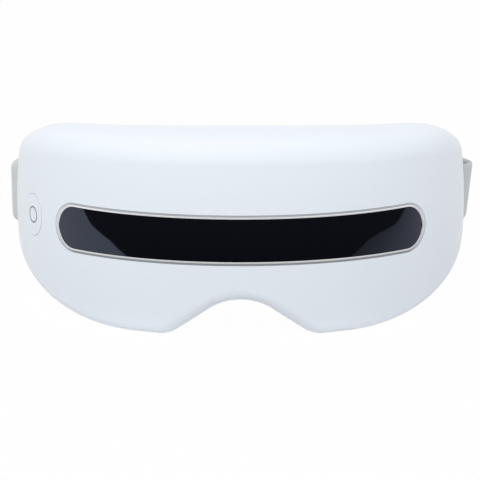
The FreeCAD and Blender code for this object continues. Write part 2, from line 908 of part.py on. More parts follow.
def main_board():
    board = block(V(-board_half_width, board_front_y, board_low_z),
                  V(board_half_width, board_rear_y, board_high_z))
    return board.cut([board_rod(board_screw_hole, spot, board_front_y, board_rear_y)
                      for spot in board_post_spots()])


def board_blocks(shares, height, rim=0):
    tall = board_high_z - board_low_z
    blocks = []
    for across, along, width, length in shares:
        centre = V(across * board_half_width, board_front_y, board_low_z + along * tall)
        half = V(width * board_half_width / 2 - rim, 0, length * tall / 2 - rim)
        blocks.append(block(centre - half - V(0, height, 0), centre + half - V(0, rim, 0)))
    return blocks


def board_sockets():
    bodies = board_blocks(socket_shares, socket_height)
    wells = board_blocks(socket_shares, socket_height, socket_wall)
    return Part.makeCompound([body.cut(well) for body, well in zip(bodies, wells)])


def battery():
    tall = battery_half_height
    cell = block(V(-battery_half_length, -battery_lift - battery_thickness, battery_z - tall),
                 V(battery_half_length, -battery_lift, battery_z + tall))
    cell = cell.makeFillet(battery_corner_radius, [edge for edge in cell.Edges if edge.BoundBox.ZLength > tall])
    return on_plate(cell, battery_x)


pump_disc_z = pump_base_z + pump_cap_height
pump_case_z = pump_disc_z + pump_disc_height
pump_motor_z = pump_case_z + pump_case_height
pump_top_z = pump_motor_z + pump_motor_height
pump_spot = plate_spot(pump_x, pump_distance)
air_y = pump_spot.y
outlet_x = pump_spot.x - pump_radius


def pump_cap():
    cap = pump_rod(pump_radius, pump_base_z, pump_disc_z)
    tip = V(outlet_x - nozzle_length, air_y, air_z)
    cap = cap.fuse(rod(nozzle_radius, tip, V(pump_spot.x, air_y, air_z)))
    return cap.cut(rod(nozzle_bore, tip, V(pump_spot.x, air_y, air_z)))


def pump_diaphragm():
    return pump_rod(pump_radius, pump_disc_z, pump_case_z)


def pump_case():
    return pump_rod(pump_radius, pump_case_z, pump_motor_z).cut(
        pump_rod(pump_case_bore, pump_case_z, pump_motor_z))


def pump_motor():
    motor = pump_rod(pump_motor_radius, pump_motor_z, pump_top_z)
    bore = pump_shaft_radius + pump_shaft_clearance
    return motor.cut(pump_rod(bore, pump_motor_z, pump_motor_z + pump_shaft_seat))


def pump_crank():
    shaft_low = pump_motor_z - pump_shaft_drop
    shaft_high = pump_motor_z + pump_shaft_seat - pump_shaft_clearance
    cam_low = shaft_low + pump_shaft_seat / 2
    cam = pump_rod(cam_radius, cam_low, cam_low + cam_thickness, cam_offset)
    return pump_rod(pump_shaft_radius, shaft_low, shaft_high).fuse(cam)


def air_tees():
    bore = nozzle_bore
    tees = []
    for x, side in ((0, up), (eye_x, V(0, 1, 0))):
        centre = V(x, air_y, air_z)
        along = V(tee_half_length, 0, 0)
        barb = V(barb_length, 0, 0)
        tee = rod(nozzle_radius, centre - along - barb, centre + along + barb)
        tee = tee.fuse(rod(tube_outer_radius, centre - along, centre + along))
        tee = tee.fuse(rod(nozzle_radius, centre, centre + side * (tube_outer_radius + barb_length)))
        tee = tee.cut(rod(bore, centre - along - barb, centre + along + barb))
        tees.append(tee.cut(rod(bore, centre, centre + side * (tube_outer_radius + barb_length))))
    return Part.makeCompound(tees)


def air_tubes():
    bore = nozzle_radius + barb_clearance
    skin = tube_outer_radius
    ends = tee_half_length + barb_clearance
    plate_y = plate_spot(eye_x - tube_outer_radius, 0).y - barb_clearance
    tubes = [pipe(skin, bore, V(eye_x + ends, air_y, air_z), V(outlet_x - barb_clearance, air_y, air_z)),
             pipe(skin, bore, V(ends, air_y, air_z), V(eye_x - ends, air_y, air_z)),
             pipe(skin, bore, V(eye_x, air_y + skin + barb_clearance, air_z), V(eye_x, plate_y, air_z)),
             pipe(skin, bore, V(0, air_y, air_z + skin + barb_clearance),
                  V(0, air_y, valve_low_z - barb_clearance))]
    start = V(-ends, air_y, air_z)
    turn = V(elbow_radius - eye_x, air_y, air_z)
    half = elbow_radius * math.sin(math.radians(45))
    middle = V(turn.x - half, air_y + elbow_radius - half, air_z)
    corner = V(-eye_x, air_y + elbow_radius, air_z)
    route = Part.Wire([bar(start, turn), bend(turn, middle, corner), bar(corner, V(-eye_x, plate_y, air_z))])
    swept = []
    for radius in (skin, bore):
        ring = Part.Wire(Part.makeCircle(radius, start, V(-1, 0, 0)))
        swept.append(route.makePipeShell([ring], True, False))
    return Part.makeCompound(tubes + [swept[0].cut(swept[1])])


def valve_rod(radius, low, high):
    return rod(radius, V(0, air_y, low), V(0, air_y, high))


def release_valve():
    rear_y = part_front_y
    body = block(V(-valve_half_width, air_y - valve_half_depth, valve_low_z),
                 V(valve_half_width, rear_y, valve_high_z))
    body = body.fuse(valve_rod(nozzle_radius, valve_low_z - barb_length, valve_low_z))
    body = body.cut(valve_rod(nozzle_bore, valve_low_z - barb_length, valve_high_z))
    return body.cut(valve_rod(valve_bore, valve_low_z + valve_floor, valve_high_z))


def valve_plunger():
    low = valve_low_z + valve_floor + valve_rest_gap + valve_travel
    return valve_rod(valve_plunger_radius, low, valve_high_z - valve_plunger_drop)


def buzzer():
    high = buzzer_low_z + buzzer_length
    can = buzzer_rod(buzzer_radius, buzzer_low_z, high)
    return can.cut(buzzer_rod(buzzer_shaft_radius + buzzer_shaft_clearance, high - buzzer_shaft_seat, high))


def buzzer_weight():
    high = buzzer_low_z + buzzer_length
    low = high + buzzer_gap
    top = low + weight_length
    spot = plate_spot(buzzer_x, buzzer_distance)
    half = buzzer_rod(weight_radius, low, top).common(
        block(V(spot.x, spot.y - weight_radius, low), V(spot.x + weight_radius, spot.y + weight_radius, top)))
    half = half.fuse(buzzer_rod(weight_hub_radius, low, top))
    return half.fuse(buzzer_rod(buzzer_shaft_radius, high - buzzer_shaft_seat + buzzer_shaft_clearance, top))


def port_profile(grow, half_width, half_height):
    high = half_height + grow
    straight = half_width - half_height
    centre_y = -charge_standoff - charge_board_thickness - port_half_height
    ends = [bend(V(side * straight, centre_y - high, 0), V(side * (straight + high), centre_y, 0),
                 V(side * straight, centre_y + high, 0)) for side in (-1, 1)]
    lines = [bar(V(-straight, centre_y + side * high, 0), V(straight, centre_y + side * high, 0)) for side in (-1, 1)]
    return Part.Face(Part.Wire(Part.__sortEdges__(ends + lines)))


def port_prism(grow, low, high, half_width=port_half_width, half_height=port_half_height):
    face = port_profile(grow, half_width, half_height)
    face.translate(up * low)
    return on_plate(face.extrude(up * (high - low)), port_x)


def charge_port():
    end = port_mouth_z + port_length
    port = port_prism(0, port_mouth_z, end).cut(port_prism(-port_skin, port_mouth_z, end - port_floor))
    start = end - port_floor - tongue_length
    return port.fuse(port_prism(0, start, end, tongue_half_width, tongue_half_height))


def charge_board():
    half = charge_board_half_width
    board = block(V(-half, -charge_standoff - charge_board_thickness, charge_board_low_z),
                  V(half, -charge_standoff, charge_board_high_z))
    board = on_plate(board, port_x)
    return board.cut(charge_holes(charge_standoff, charge_standoff + charge_board_thickness, board_screw_hole))


def assembly():
    pad = eye_piece(heater_rear, pad_rear, pad_gap, pad_edge_radius)
    heater = eye_piece(heater_front, heater_rear, airbag_margin, 0)
    bag = airbag()
    motor = buzzer()
    weight = buzzer_weight()
    return {
        "front_shell": front_shell(),
        "window_trim": window_trim(),
        "window_lens": window_lens(),
        "power_button": power_button(),
        "ring_light_guide": ring_light_guide(),
        "switch_plunger": switch_plunger(),
        "tact_switch": tact_switch(),
        "switch_board": switch_board(),
        "rear_frame": rear_frame(),
        "face_cushion": face_cushion(),
        "right_eye_pad": pad,
        "left_eye_pad": mirrored(pad),
        "right_heater": heater,
        "left_heater": mirrored(heater),
        "right_airbag": bag,
        "left_airbag": mirrored(bag),
        "head_strap": head_strap(),
        "strap_tail": strap_tail(),
        "strap_slider": strap_slider(),
        "frame_screws": frame_screws(),
        "board_screws": board_screws(),
        "main_board": main_board(),
        "board_chips": Part.makeCompound(board_blocks(chip_shares, chip_height)),
        "board_sockets": board_sockets(),
        "battery": battery(),
        "pump_cap": pump_cap(),
        "pump_diaphragm": pump_diaphragm(),
        "pump_case": pump_case(),
        "pump_motor": pump_motor(),
        "pump_crank": pump_crank(),
        "air_tees": air_tees(),
        "air_tubes": air_tubes(),
        "release_valve": release_valve(),
        "valve_plunger": valve_plunger(),
        "right_buzzer": motor,
        "left_buzzer": mirrored(motor),
        "right_buzzer_weight": weight,
        "left_buzzer_weight": mirrored(weight),
        "charge_board": charge_board(),
        "charge_port": charge_port(),
    }


os.makedirs("parts", exist_ok=True)
for name, shape in assembly().items():
    shape.translate(V(0, -origin_y, 0))
    shape.exportStep("parts/" + name + ".step")
    print(name, shape.isValid(), len(shape.Solids), round(shape.Volume))
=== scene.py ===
import json
import math

import bmesh
import bpy
from mathutils import Matrix, Vector
from mathutils.bvhtree import BVHTree

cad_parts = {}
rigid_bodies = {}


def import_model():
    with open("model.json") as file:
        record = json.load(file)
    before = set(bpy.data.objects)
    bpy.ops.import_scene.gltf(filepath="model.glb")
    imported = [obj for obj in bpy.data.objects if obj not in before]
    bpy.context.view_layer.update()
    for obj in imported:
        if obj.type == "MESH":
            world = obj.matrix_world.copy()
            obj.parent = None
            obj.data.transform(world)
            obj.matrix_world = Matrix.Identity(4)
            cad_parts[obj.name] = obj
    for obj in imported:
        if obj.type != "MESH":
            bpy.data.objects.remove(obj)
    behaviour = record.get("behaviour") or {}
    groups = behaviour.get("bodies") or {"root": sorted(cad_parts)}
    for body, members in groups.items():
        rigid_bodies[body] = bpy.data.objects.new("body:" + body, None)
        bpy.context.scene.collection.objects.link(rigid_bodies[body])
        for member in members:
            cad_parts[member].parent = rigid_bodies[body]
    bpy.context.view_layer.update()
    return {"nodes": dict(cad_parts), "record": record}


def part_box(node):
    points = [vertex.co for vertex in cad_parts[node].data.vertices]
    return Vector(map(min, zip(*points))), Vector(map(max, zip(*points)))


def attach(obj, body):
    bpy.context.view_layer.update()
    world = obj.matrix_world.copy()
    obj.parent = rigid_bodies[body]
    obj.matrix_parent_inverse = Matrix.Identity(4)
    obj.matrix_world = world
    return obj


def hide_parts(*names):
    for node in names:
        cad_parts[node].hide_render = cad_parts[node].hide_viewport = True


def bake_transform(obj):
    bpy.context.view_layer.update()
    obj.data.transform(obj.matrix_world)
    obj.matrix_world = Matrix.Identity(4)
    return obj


for leftover in list(bpy.data.objects):
    bpy.data.objects.remove(leftover)

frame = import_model()
nodes = frame["nodes"]
scene = bpy.context.scene
sides = {"right": 1, "left": -1}
slotOf = {part["node"]: part["material_slot"] for part in frame["record"]["subparts"]}
print("stage: frame loaded,", len(nodes), "nodes")


# Camera at the photograph's angle, slightly above the window
viewpoint = {"target": (0, -0.04224, 0.0342), "distance": 1.2, "elevation": 13.09,
             "lens": 205.7, "sensor": 36, "shiftX": -0.00125, "clipNear": 0.05, "clipFar": 50}

tilt = math.radians(viewpoint["elevation"])
towards = Vector((0, math.cos(tilt), -math.sin(tilt)))
cameraData = bpy.data.cameras.new("studioCamera")
cameraData.lens = viewpoint["lens"]
cameraData.sensor_width = viewpoint["sensor"]
cameraData.shift_x = viewpoint["shiftX"]
cameraData.clip_start = viewpoint["clipNear"]
cameraData.clip_end = viewpoint["clipFar"]
camera = bpy.data.objects.new("studioCamera", cameraData)
scene.collection.objects.link(camera)
camera.location = Vector(viewpoint["target"]) - towards * viewpoint["distance"]
camera.rotation_euler = towards.to_track_quat("-Z", "Y").to_euler()
scene.camera = camera
scene.view_settings.view_transform = "Standard"


def newGroup(name, inputs, outputs):
    group = bpy.data.node_groups.new(name, "ShaderNodeTree")
    for label, kind, value in inputs:
        socket = group.interface.new_socket(label, in_out="INPUT", socket_type=kind)
        if value is not None:
            socket.default_value = value
    for label, kind in outputs:
        group.interface.new_socket(label, in_out="OUTPUT", socket_type=kind)
    start = group.nodes.new("NodeGroupInput")
    end = group.nodes.new("NodeGroupOutput")
    return group, start, end


# A value goes to the node's own setting of that name, or else to its input
def addNode(tree, kind, **values):
    node = tree.nodes.new(kind)
    for key, value in values.items():
        if hasattr(node, key):
            setattr(node, key, value)
        else:
            node.inputs[key.replace("_", " ")].default_value = value
    return node


def calc(tree, operation, first, second=None):
    node = tree.nodes.new("ShaderNodeMath")
    node.operation = operation
    for place, value in enumerate((first, second)):
        if isinstance(value, (int, float)):
            node.inputs[place].default_value = value
        elif value is not None:
            tree.links.new(value, node.inputs[place])
    return node.outputs[0]


# Uneven gloss and fine pitting of a moulded or coated surface
def makeSurfaceGrain():
    group, start, end = newGroup(
        "surfaceGrain",
        [("Vector", "NodeSocketVector", None), ("Scale", "NodeSocketFloat", 900.0),
         ("Roughness", "NodeSocketFloat", 0.4), ("Spread", "NodeSocketFloat", 0.08),
         ("Color", "NodeSocketColor", (0.8, 0.8, 0.8, 1)), ("Tint", "NodeSocketFloat", 0.03)],
        [("Roughness", "NodeSocketFloat"), ("Height", "NodeSocketFloat"), ("Color", "NodeSocketColor")])
    fine = addNode(group, "ShaderNodeTexNoise", Detail=4.0, Roughness=0.6)
    broad = addNode(group, "ShaderNodeTexNoise", Scale=22.0, Detail=2.0)
    group.links.new(start.outputs["Vector"], fine.inputs["Vector"])
    group.links.new(start.outputs["Scale"], fine.inputs["Scale"])
    group.links.new(start.outputs["Vector"], broad.inputs["Vector"])
    centred = calc(group, "SUBTRACT", broad.outputs["Fac"], 0.5)
    swing = calc(group, "MULTIPLY", centred, start.outputs["Spread"])
    rough = calc(group, "ADD", swing, start.outputs["Roughness"])
    group.links.new(rough, end.inputs["Roughness"])
    group.links.new(fine.outputs["Fac"], end.inputs["Height"])
    shade = addNode(group, "ShaderNodeHueSaturation")
    lift = calc(group, "MULTIPLY", centred, start.outputs["Tint"])
    value = calc(group, "ADD", lift, 1.0)
    group.links.new(value, shade.inputs["Value"])
    group.links.new(start.outputs["Color"], shade.inputs["Color"])
    group.links.new(shade.outputs["Color"], end.inputs["Color"])
    return group


surfaceGrain = makeSurfaceGrain()


def newMaterial(name, **constants):
    material = bpy.data.materials.new(name)
    material.use_nodes = True
    shader = material.node_tree.nodes["Principled BSDF"]
    for label, value in constants.items():
        shader.inputs[label.replace("_", " ")].default_value = value
    return material, material.node_tree, shader


grainDefaults = {"spread": 0.08, "tint": 0.03, "depth": 0.0002}


def grained(name, look, **constants):
    look = {**grainDefaults, **look}
    material, tree, shader = newMaterial(name, **constants)
    place = tree.nodes.new("ShaderNodeTexCoord")
    grain = tree.nodes.new("ShaderNodeGroup")
    grain.node_tree = surfaceGrain
    grain.inputs["Scale"].default_value = look["scale"]
    grain.inputs["Roughness"].default_value = look["roughness"]
    grain.inputs["Spread"].default_value = look["spread"]
    grain.inputs["Color"].default_value = (*look["color"], 1)
    grain.inputs["Tint"].default_value = look["tint"]
    bump = addNode(tree, "ShaderNodeBump", Strength=look["bump"], Distance=look["depth"])
    tree.links.new(place.outputs["Object"], grain.inputs["Vector"])
    tree.links.new(grain.outputs["Color"], shader.inputs["Base Color"])
    tree.links.new(grain.outputs["Roughness"], shader.inputs["Roughness"])
    tree.links.new(grain.outputs["Height"], bump.inputs["Height"])
    tree.links.new(bump.outputs["Normal"], shader.inputs["Normal"])
    return material


pearl = {"color": (0.807, 0.86, 0.926), "scale": 1400, "bump": 0.02, "tint": 0.01}
finishes = {
    "shellPearl": {**pearl, "roughness": 0.38},
    "buttonPearl": {**pearl, "roughness": 0.36},
    "frameSatin": {"color": (0.74, 0.76, 0.79), "roughness": 0.55, "scale": 2600, "bump": 0.16},
    # The trim seat's grey is painted shade, the groove drawn darker than it is lit.
    "trimSeatShadeGrey": {"color": (0.50, 0.52, 0.55), "roughness": 0.5, "scale": 2000, "bump": 0.04},
    "markGrey": {"color": (0.17, 0.18, 0.205), "roughness": 0.4, "scale": 2000, "bump": 0.04},
    "sliderGrey": {"color": (0.50, 0.52, 0.53), "roughness": 0.42, "scale": 2200, "bump": 0.1},
    "boardGreen": {"color": (0.02, 0.15, 0.07), "roughness": 0.35, "scale": 600, "bump": 0.1, "tint": 0.2},
    "chipBlack": {"color": (0.02, 0.02, 0.022), "roughness": 0.5, "scale": 3000, "bump": 0.12},
    "mouldBlack": {"color": (0.03, 0.03, 0.032), "roughness": 0.45, "scale": 2400, "bump": 0.12},
    "mouldIvory": {"color": (0.72, 0.71, 0.66), "roughness": 0.48, "scale": 2400, "bump": 0.1},
    "cellWrap": {"color": (0.10, 0.15, 0.33), "roughness": 0.38, "scale": 500, "bump": 0.14, "tint": 0.12},
    "heaterFilm": {"color": (0.50, 0.24, 0.05), "roughness": 0.32, "scale": 700, "bump": 0.1, "tint": 0.15},
    "softTube": {"color": (0.70, 0.72, 0.70), "roughness": 0.4, "scale": 1200, "bump": 0.06},
}
plated = {
    "trimChrome": {"color": (0.88, 0.89, 0.91), "roughness": 0.26, "scale": 1800, "bump": 0.015,
                   "tint": 0.02, "spread": 0.04},
    "drawnSteel": {"color": (0.56, 0.57, 0.58), "roughness": 0.34, "scale": 1500, "bump": 0.08,
                   "tint": 0.08},
}
library = {name: grained(name, look) for name, look in finishes.items()}
library.update({name: grained(name, look, Metallic=1.0) for name, look in plated.items()})
lensLook = {"color": (0.0010, 0.0012, 0.0018), "roughness": 0.035, "scale": 300, "spread": 0.02,
            "bump": 0.004, "tint": 0.1}
library["lensBlack"] = grained("lensBlack", lensLook, IOR=1.70, Specular_Tint=(0.61, 0.70, 1.0, 1))


def fabric(name, group, values, bump, depth, links=(), **constants):
    material, tree, shader = newMaterial(name, **constants)
    weave = tree.nodes.new("ShaderNodeGroup")
    weave.node_tree = group
    for label, value in values.items():
        weave.inputs[label].default_value = value
    place = tree.nodes.new("ShaderNodeTexCoord")
    tree.links.new(place.outputs["Object"], weave.inputs["Vector"])
    for label, attribute in links:
        source = addNode(tree, "ShaderNodeAttribute", attribute_name=attribute)
        tree.links.new(source.outputs["Fac"], weave.inputs[label])
    relief = addNode(tree, "ShaderNodeBump", Strength=bump, Distance=depth)
    tree.links.new(weave.outputs["Color"], shader.inputs["Base Color"])
    tree.links.new(weave.outputs["Roughness"], shader.inputs["Roughness"])
    tree.links.new(weave.outputs["Height"], relief.inputs["Height"])
    tree.links.new(relief.outputs["Normal"], shader.inputs["Normal"])
    return material


def shadeBy(group, colour, value):
    shade = addNode(group, "ShaderNodeHueSaturation")
    group.links.new(value, shade.inputs["Value"])
    group.links.new(colour, shade.inputs["Color"])
    return shade.outputs["Color"]


def smoothRange(group, value, low, high):
    node = addNode(group, "ShaderNodeMapRange", interpolation_type="SMOOTHSTEP")
    node.inputs["From Min"].default_value = low
    node.inputs["From Max"].default_value = high
    group.links.new(value, node.inputs["Value"])
    return node.outputs["Result"]


# Elastic webbing: ribs along its length, crossed by fine picks that step from rib to rib
def makeRibWeave():
    group, start, end = newGroup(
        "ribWeave",
        [("Vector", "NodeSocketVector", None), ("Along", "NodeSocketFloat", 0.0),
         ("Low", "NodeSocketFloat", 0.0), ("Rib", "NodeSocketFloat", 0.00127),
         ("Pick", "NodeSocketFloat", 0.0009), ("Color", "NodeSocketColor", (0.6, 0.6, 0.6, 1)),
         ("Roughness", "NodeSocketFloat", 0.8)],
        [("Color", "NodeSocketColor"), ("Roughness", "NodeSocketFloat"), ("Height", "NodeSocketFloat")])
    apart = group.nodes.new("ShaderNodeSeparateXYZ")
    group.links.new(start.outputs["Vector"], apart.inputs[0])
    rise = calc(group, "SUBTRACT", apart.outputs["Z"], start.outputs["Low"])
    ribs = calc(group, "DIVIDE", rise, start.outputs["Rib"])
    row = calc(group, "FLOOR", calc(group, "ADD", ribs, 0.5))
    step = calc(group, "MULTIPLY", row, 0.5)
    picks = calc(group, "ADD", calc(group, "DIVIDE", start.outputs["Along"], start.outputs["Pick"]), step)
    wave = calc(group, "SINE", calc(group, "MULTIPLY", picks, 2 * math.pi))
    crown = calc(group, "COSINE", calc(group, "MULTIPLY", ribs, 2 * math.pi))
    crown = calc(group, "ADD", calc(group, "MULTIPLY", crown, 0.5), 0.5)
    yarn = calc(group, "MULTIPLY", calc(group, "MULTIPLY", wave, crown), 0.5)
    fuzz = addNode(group, "ShaderNodeTexNoise", Scale=2600.0, Detail=3.0)
    group.links.new(start.outputs["Vector"], fuzz.inputs["Vector"])
    broad = addNode(group, "ShaderNodeTexNoise", Scale=60.0, Detail=2.0)
    group.links.new(start.outputs["Vector"], broad.inputs["Vector"])
    fluff = calc(group, "MULTIPLY", calc(group, "SUBTRACT", fuzz.outputs["Fac"], 0.5), 0.35)
    height = calc(group, "ADD", calc(group, "ADD", yarn, crown), fluff)
    group.links.new(height, end.inputs["Height"])
    # The colour follows the relief, lighter on rib crowns and raised picks and darker in the hollows:
    # painted shade; the fuzz and broad terms are random tone.
    lift = calc(group, "MULTIPLY", crown, 0.07)
    lift = calc(group, "ADD", lift, calc(group, "MULTIPLY", yarn, 0.05))
    lift = calc(group, "ADD", lift, calc(group, "MULTIPLY", fluff, 0.35))
    lift = calc(group, "ADD", lift, calc(group, "MULTIPLY", broad.outputs["Fac"], 0.08))
    colour = shadeBy(group, start.outputs["Color"], calc(group, "ADD", lift, 0.90))
    group.links.new(colour, end.inputs["Color"])
    rough = calc(group, "ADD", calc(group, "MULTIPLY", fluff, 0.3), start.outputs["Roughness"])
    group.links.new(rough, end.inputs["Roughness"])
    return group


# Soft leathercloth: irregular cells with fine creases between them
def makeLeatherGrain():
    group, start, end = newGroup(
        "leatherGrain",
        [("Vector", "NodeSocketVector", None), ("Scale", "NodeSocketFloat", 700.0),
         ("Color", "NodeSocketColor", (0.6, 0.6, 0.6, 1)), ("Roughness", "NodeSocketFloat", 0.5)],
        [("Color", "NodeSocketColor"), ("Roughness", "NodeSocketFloat"), ("Height", "NodeSocketFloat")])
    warp = addNode(group, "ShaderNodeTexNoise", Scale=420.0, Detail=2.0)
    group.links.new(start.outputs["Vector"], warp.inputs["Vector"])
    bent = addNode(group, "ShaderNodeVectorMath", operation="MULTIPLY_ADD")
    bent.inputs[1].default_value = (0.0009, 0.0009, 0.0009)
    group.links.new(warp.outputs["Color"], bent.inputs[0])
    group.links.new(start.outputs["Vector"], bent.inputs[2])
    cells = addNode(group, "ShaderNodeTexVoronoi", feature="DISTANCE_TO_EDGE")
    group.links.new(bent.outputs[0], cells.inputs["Vector"])
    group.links.new(start.outputs["Scale"], cells.inputs["Scale"])
    crease = smoothRange(group, cells.outputs["Distance"], 0.0, 0.22)
    pores = addNode(group, "ShaderNodeTexNoise", Scale=3200.0, Detail=2.0)
    group.links.new(start.outputs["Vector"], pores.inputs["Vector"])
    broad = addNode(group, "ShaderNodeTexNoise", Scale=35.0, Detail=3.0)
    group.links.new(start.outputs["Vector"], broad.inputs["Vector"])
    height = calc(group, "ADD", crease, calc(group, "MULTIPLY", pores.outputs["Fac"], 0.25))
    group.links.new(height, end.inputs["Height"])
    # Darker in the creases between cells: painted shade; the broad term is random tone.
    lift = calc(group, "ADD", calc(group, "MULTIPLY", crease, 0.10),
                calc(group, "MULTIPLY", broad.outputs["Fac"], 0.12))
    colour = shadeBy(group, start.outputs["Color"], calc(group, "ADD", lift, 0.84))
    group.links.new(colour, end.inputs["Color"])
    rough = calc(group, "SUBTRACT", start.outputs["Roughness"], calc(group, "MULTIPLY", crease, 0.10))
    group.links.new(rough, end.inputs["Roughness"])
    return group


# Breathable knit: staggered eyelets between raised threads
def makeEyeletKnit():
    group, start, end = newGroup(
        "eyeletKnit",
        [("Vector", "NodeSocketVector", None), ("Pitch", "NodeSocketFloat", 0.0016),
         ("Color", "NodeSocketColor", (0.5, 0.5, 0.5, 1)), ("Roughness", "NodeSocketFloat", 0.8)],
        [("Color", "NodeSocketColor"), ("Roughness", "NodeSocketFloat"), ("Height", "NodeSocketFloat")])
    rowStep = 0.866  # of a pitch, as in a grid of triangles
    apart = group.nodes.new("ShaderNodeSeparateXYZ")
    group.links.new(start.outputs["Vector"], apart.inputs[0])
    rows = calc(group, "DIVIDE", calc(group, "DIVIDE", apart.outputs["Z"], start.outputs["Pitch"]), rowStep)
    odd = calc(group, "FLOORED_MODULO", calc(group, "FLOOR", rows), 2.0)
    columns = calc(group, "DIVIDE", apart.outputs["X"], start.outputs["Pitch"])
    columns = calc(group, "ADD", columns, calc(group, "MULTIPLY", odd, 0.5))
    across = calc(group, "SUBTRACT", calc(group, "FRACT", columns), 0.5)
    upward = calc(group, "SUBTRACT", calc(group, "FRACT", rows), 0.5)
    upward = calc(group, "MULTIPLY", upward, rowStep)
    squares = calc(group, "ADD", calc(group, "MULTIPLY", across, across),
                   calc(group, "MULTIPLY", upward, upward))
    thread = smoothRange(group, calc(group, "SQRT", squares), 0.13, 0.34)
    strands = calc(group, "MULTIPLY", calc(group, "ADD", columns, rows), 8 * math.pi)
    strands = calc(group, "SINE", strands)
    fuzz = addNode(group, "ShaderNodeTexNoise", Scale=2800.0, Detail=3.0)
    group.links.new(start.outputs["Vector"], fuzz.inputs["Vector"])
    height = calc(group, "ADD", thread, calc(group, "MULTIPLY", strands, 0.10))
    height = calc(group, "ADD", height, calc(group, "MULTIPLY", fuzz.outputs["Fac"], 0.3))
    group.links.new(height, end.inputs["Height"])
    # Lighter on the threads and darker in the eyelets between them: painted shade; the fuzz term is random
    # tone.
    lift = calc(group, "ADD", calc(group, "MULTIPLY", thread, 0.45),
                calc(group, "MULTIPLY", fuzz.outputs["Fac"], 0.16))
    colour = shadeBy(group, start.outputs["Color"], calc(group, "ADD", lift, 0.47))
    group.links.new(colour, end.inputs["Color"])
    rough = calc(group, "ADD", start.outputs["Roughness"], calc(group, "MULTIPLY", thread, 0.05))
    group.links.new(rough, end.inputs["Roughness"])
    return group


ribWeave = makeRibWeave()
leatherGrain = makeLeatherGrain()
eyeletKnit = makeEyeletKnit()
library["cushionSkin"] = fabric(
    "cushionSkin", leatherGrain, {"Color": (0.62, 0.63, 0.65, 1), "Roughness": 0.52, "Scale": 720.0},
    bump=0.35, depth=0.00012)
library["padKnit"] = fabric(
    "padKnit", eyeletKnit, {"Color": (0.44, 0.455, 0.48, 1), "Roughness": 0.82, "Pitch": 0.0016},
    bump=0.6, depth=0.00025, Sheen_Weight=0.25)
threadLook = {"color": (0.66, 0.68, 0.69), "roughness": 0.72, "scale": 4000, "bump": 0.3, "tint": 0.1}
library["threadPale"] = grained("threadPale", threadLook)
filmLook = {"color": (0.86, 0.89, 0.91), "roughness": 0.22, "scale": 260, "bump": 0.12, "tint": 0.04}
library["airbagFilm"] = grained("airbagFilm", filmLook, Transmission_Weight=0.75, IOR=1.3)

finishOf = {
    "front_shell": "shellPearl", "power_button": "buttonPearl", "window_lens": "lensBlack",
    "ring_light_guide": "markGrey", "rear_frame": "frameSatin", "strap_slider": "sliderGrey",
    "switch_plunger": "mouldBlack", "tact_switch": "mouldBlack", "switch_board": "boardGreen",
    "main_board": "boardGreen", "charge_board": "boardGreen", "board_chips": "chipBlack",
    "board_sockets": "mouldIvory", "battery": "cellWrap", "pump_cap": "mouldIvory",
    "pump_case": "mouldIvory", "air_tees": "mouldIvory", "pump_diaphragm": "softTube",
    "air_tubes": "softTube", "release_valve": "mouldBlack", "right_heater": "heaterFilm",
    "left_heater": "heaterFilm", "pump_motor": "drawnSteel",
    "pump_crank": "drawnSteel", "valve_plunger": "drawnSteel", "right_buzzer": "drawnSteel",
    "left_buzzer": "drawnSteel", "right_buzzer_weight": "drawnSteel", "left_buzzer_weight": "drawnSteel",
    "frame_screws": "drawnSteel", "board_screws": "drawnSteel", "charge_port": "drawnSteel",
}
for node, finish in finishOf.items():
    for slot in nodes[node].material_slots:
        slot.material = library[finish]
print("stage: rigid pieces finished,", len(finishOf))


# Helpers for the pieces that are modelled here
def linkMesh(name, mesh, material):
    mesh.name = name
    mesh.shade_smooth()
    mesh.materials.clear()
    mesh.materials.append(material)
    piece = bpy.data.objects.new(name, mesh)
    scene.collection.objects.link(piece)
    return piece


def finishMesh(name, bm, material):
    mesh = bpy.data.meshes.new(name)
    bm.normal_update()
    bm.to_mesh(mesh)
    bm.free()
    return linkMesh(name, mesh, material)


def applyModifiers(piece):
    bpy.context.view_layer.update()
    ready = piece.evaluated_get(bpy.context.evaluated_depsgraph_get())
    mesh = bpy.data.meshes.new_from_object(ready)
    piece.modifiers.clear()
    piece.data = mesh


def seat(piece, body, slot, *stoodFor):
    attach(piece, body)
    if stoodFor:
        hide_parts(*stoodFor)


# Mesh of a smooth route: a bare line, or a tube where a radius is given
def routeMesh(route, steps, closed=False, radius=0):
    curve = bpy.data.curves.new("route", "CURVE")
    curve.dimensions = "3D"
    curve.resolution_u = steps
    curve.bevel_depth = radius
    curve.bevel_resolution = 2
    spline = curve.splines.new("NURBS")
    spline.points.add(len(route) - 1)
    for point, place in zip(spline.points, route):
        point.co = (*place, 1)
    spline.order_u = 4
    spline.use_cyclic_u = closed
    spline.use_endpoint_u = not closed
    holder = bpy.data.objects.new("route", curve)
    mesh = bpy.data.meshes.new_from_object(holder)
    bpy.data.objects.remove(holder)
    bpy.data.curves.remove(curve)
    return mesh


def routePoints(route, steps=8):
    line = routeMesh(route, steps)
    points = [vertex.co.copy() for vertex in line.vertices]
    bpy.data.meshes.remove(line)
    return points


# The new edges and vertices of one extruded step
def extrude(bm, edges):
    made = bmesh.ops.extrude_edge_only(bm, edges=edges)["geom"]
    fresh = [item for item in made if isinstance(item, bmesh.types.BMEdge)]
    verts = [item for item in made if isinstance(item, bmesh.types.BMVert)]
    return fresh, verts


def ramp(value, low, high):
    share = min(max((value - low) / (high - low), 0), 1)
    return share * share * (3 - 2 * share)


# The housing's skin: an elliptical barrel that bulges at mid height
barrel = {"halfWidth": 0.1006, "depth": 0.0834, "bulge": 0.0045, "middle": 0.0431}
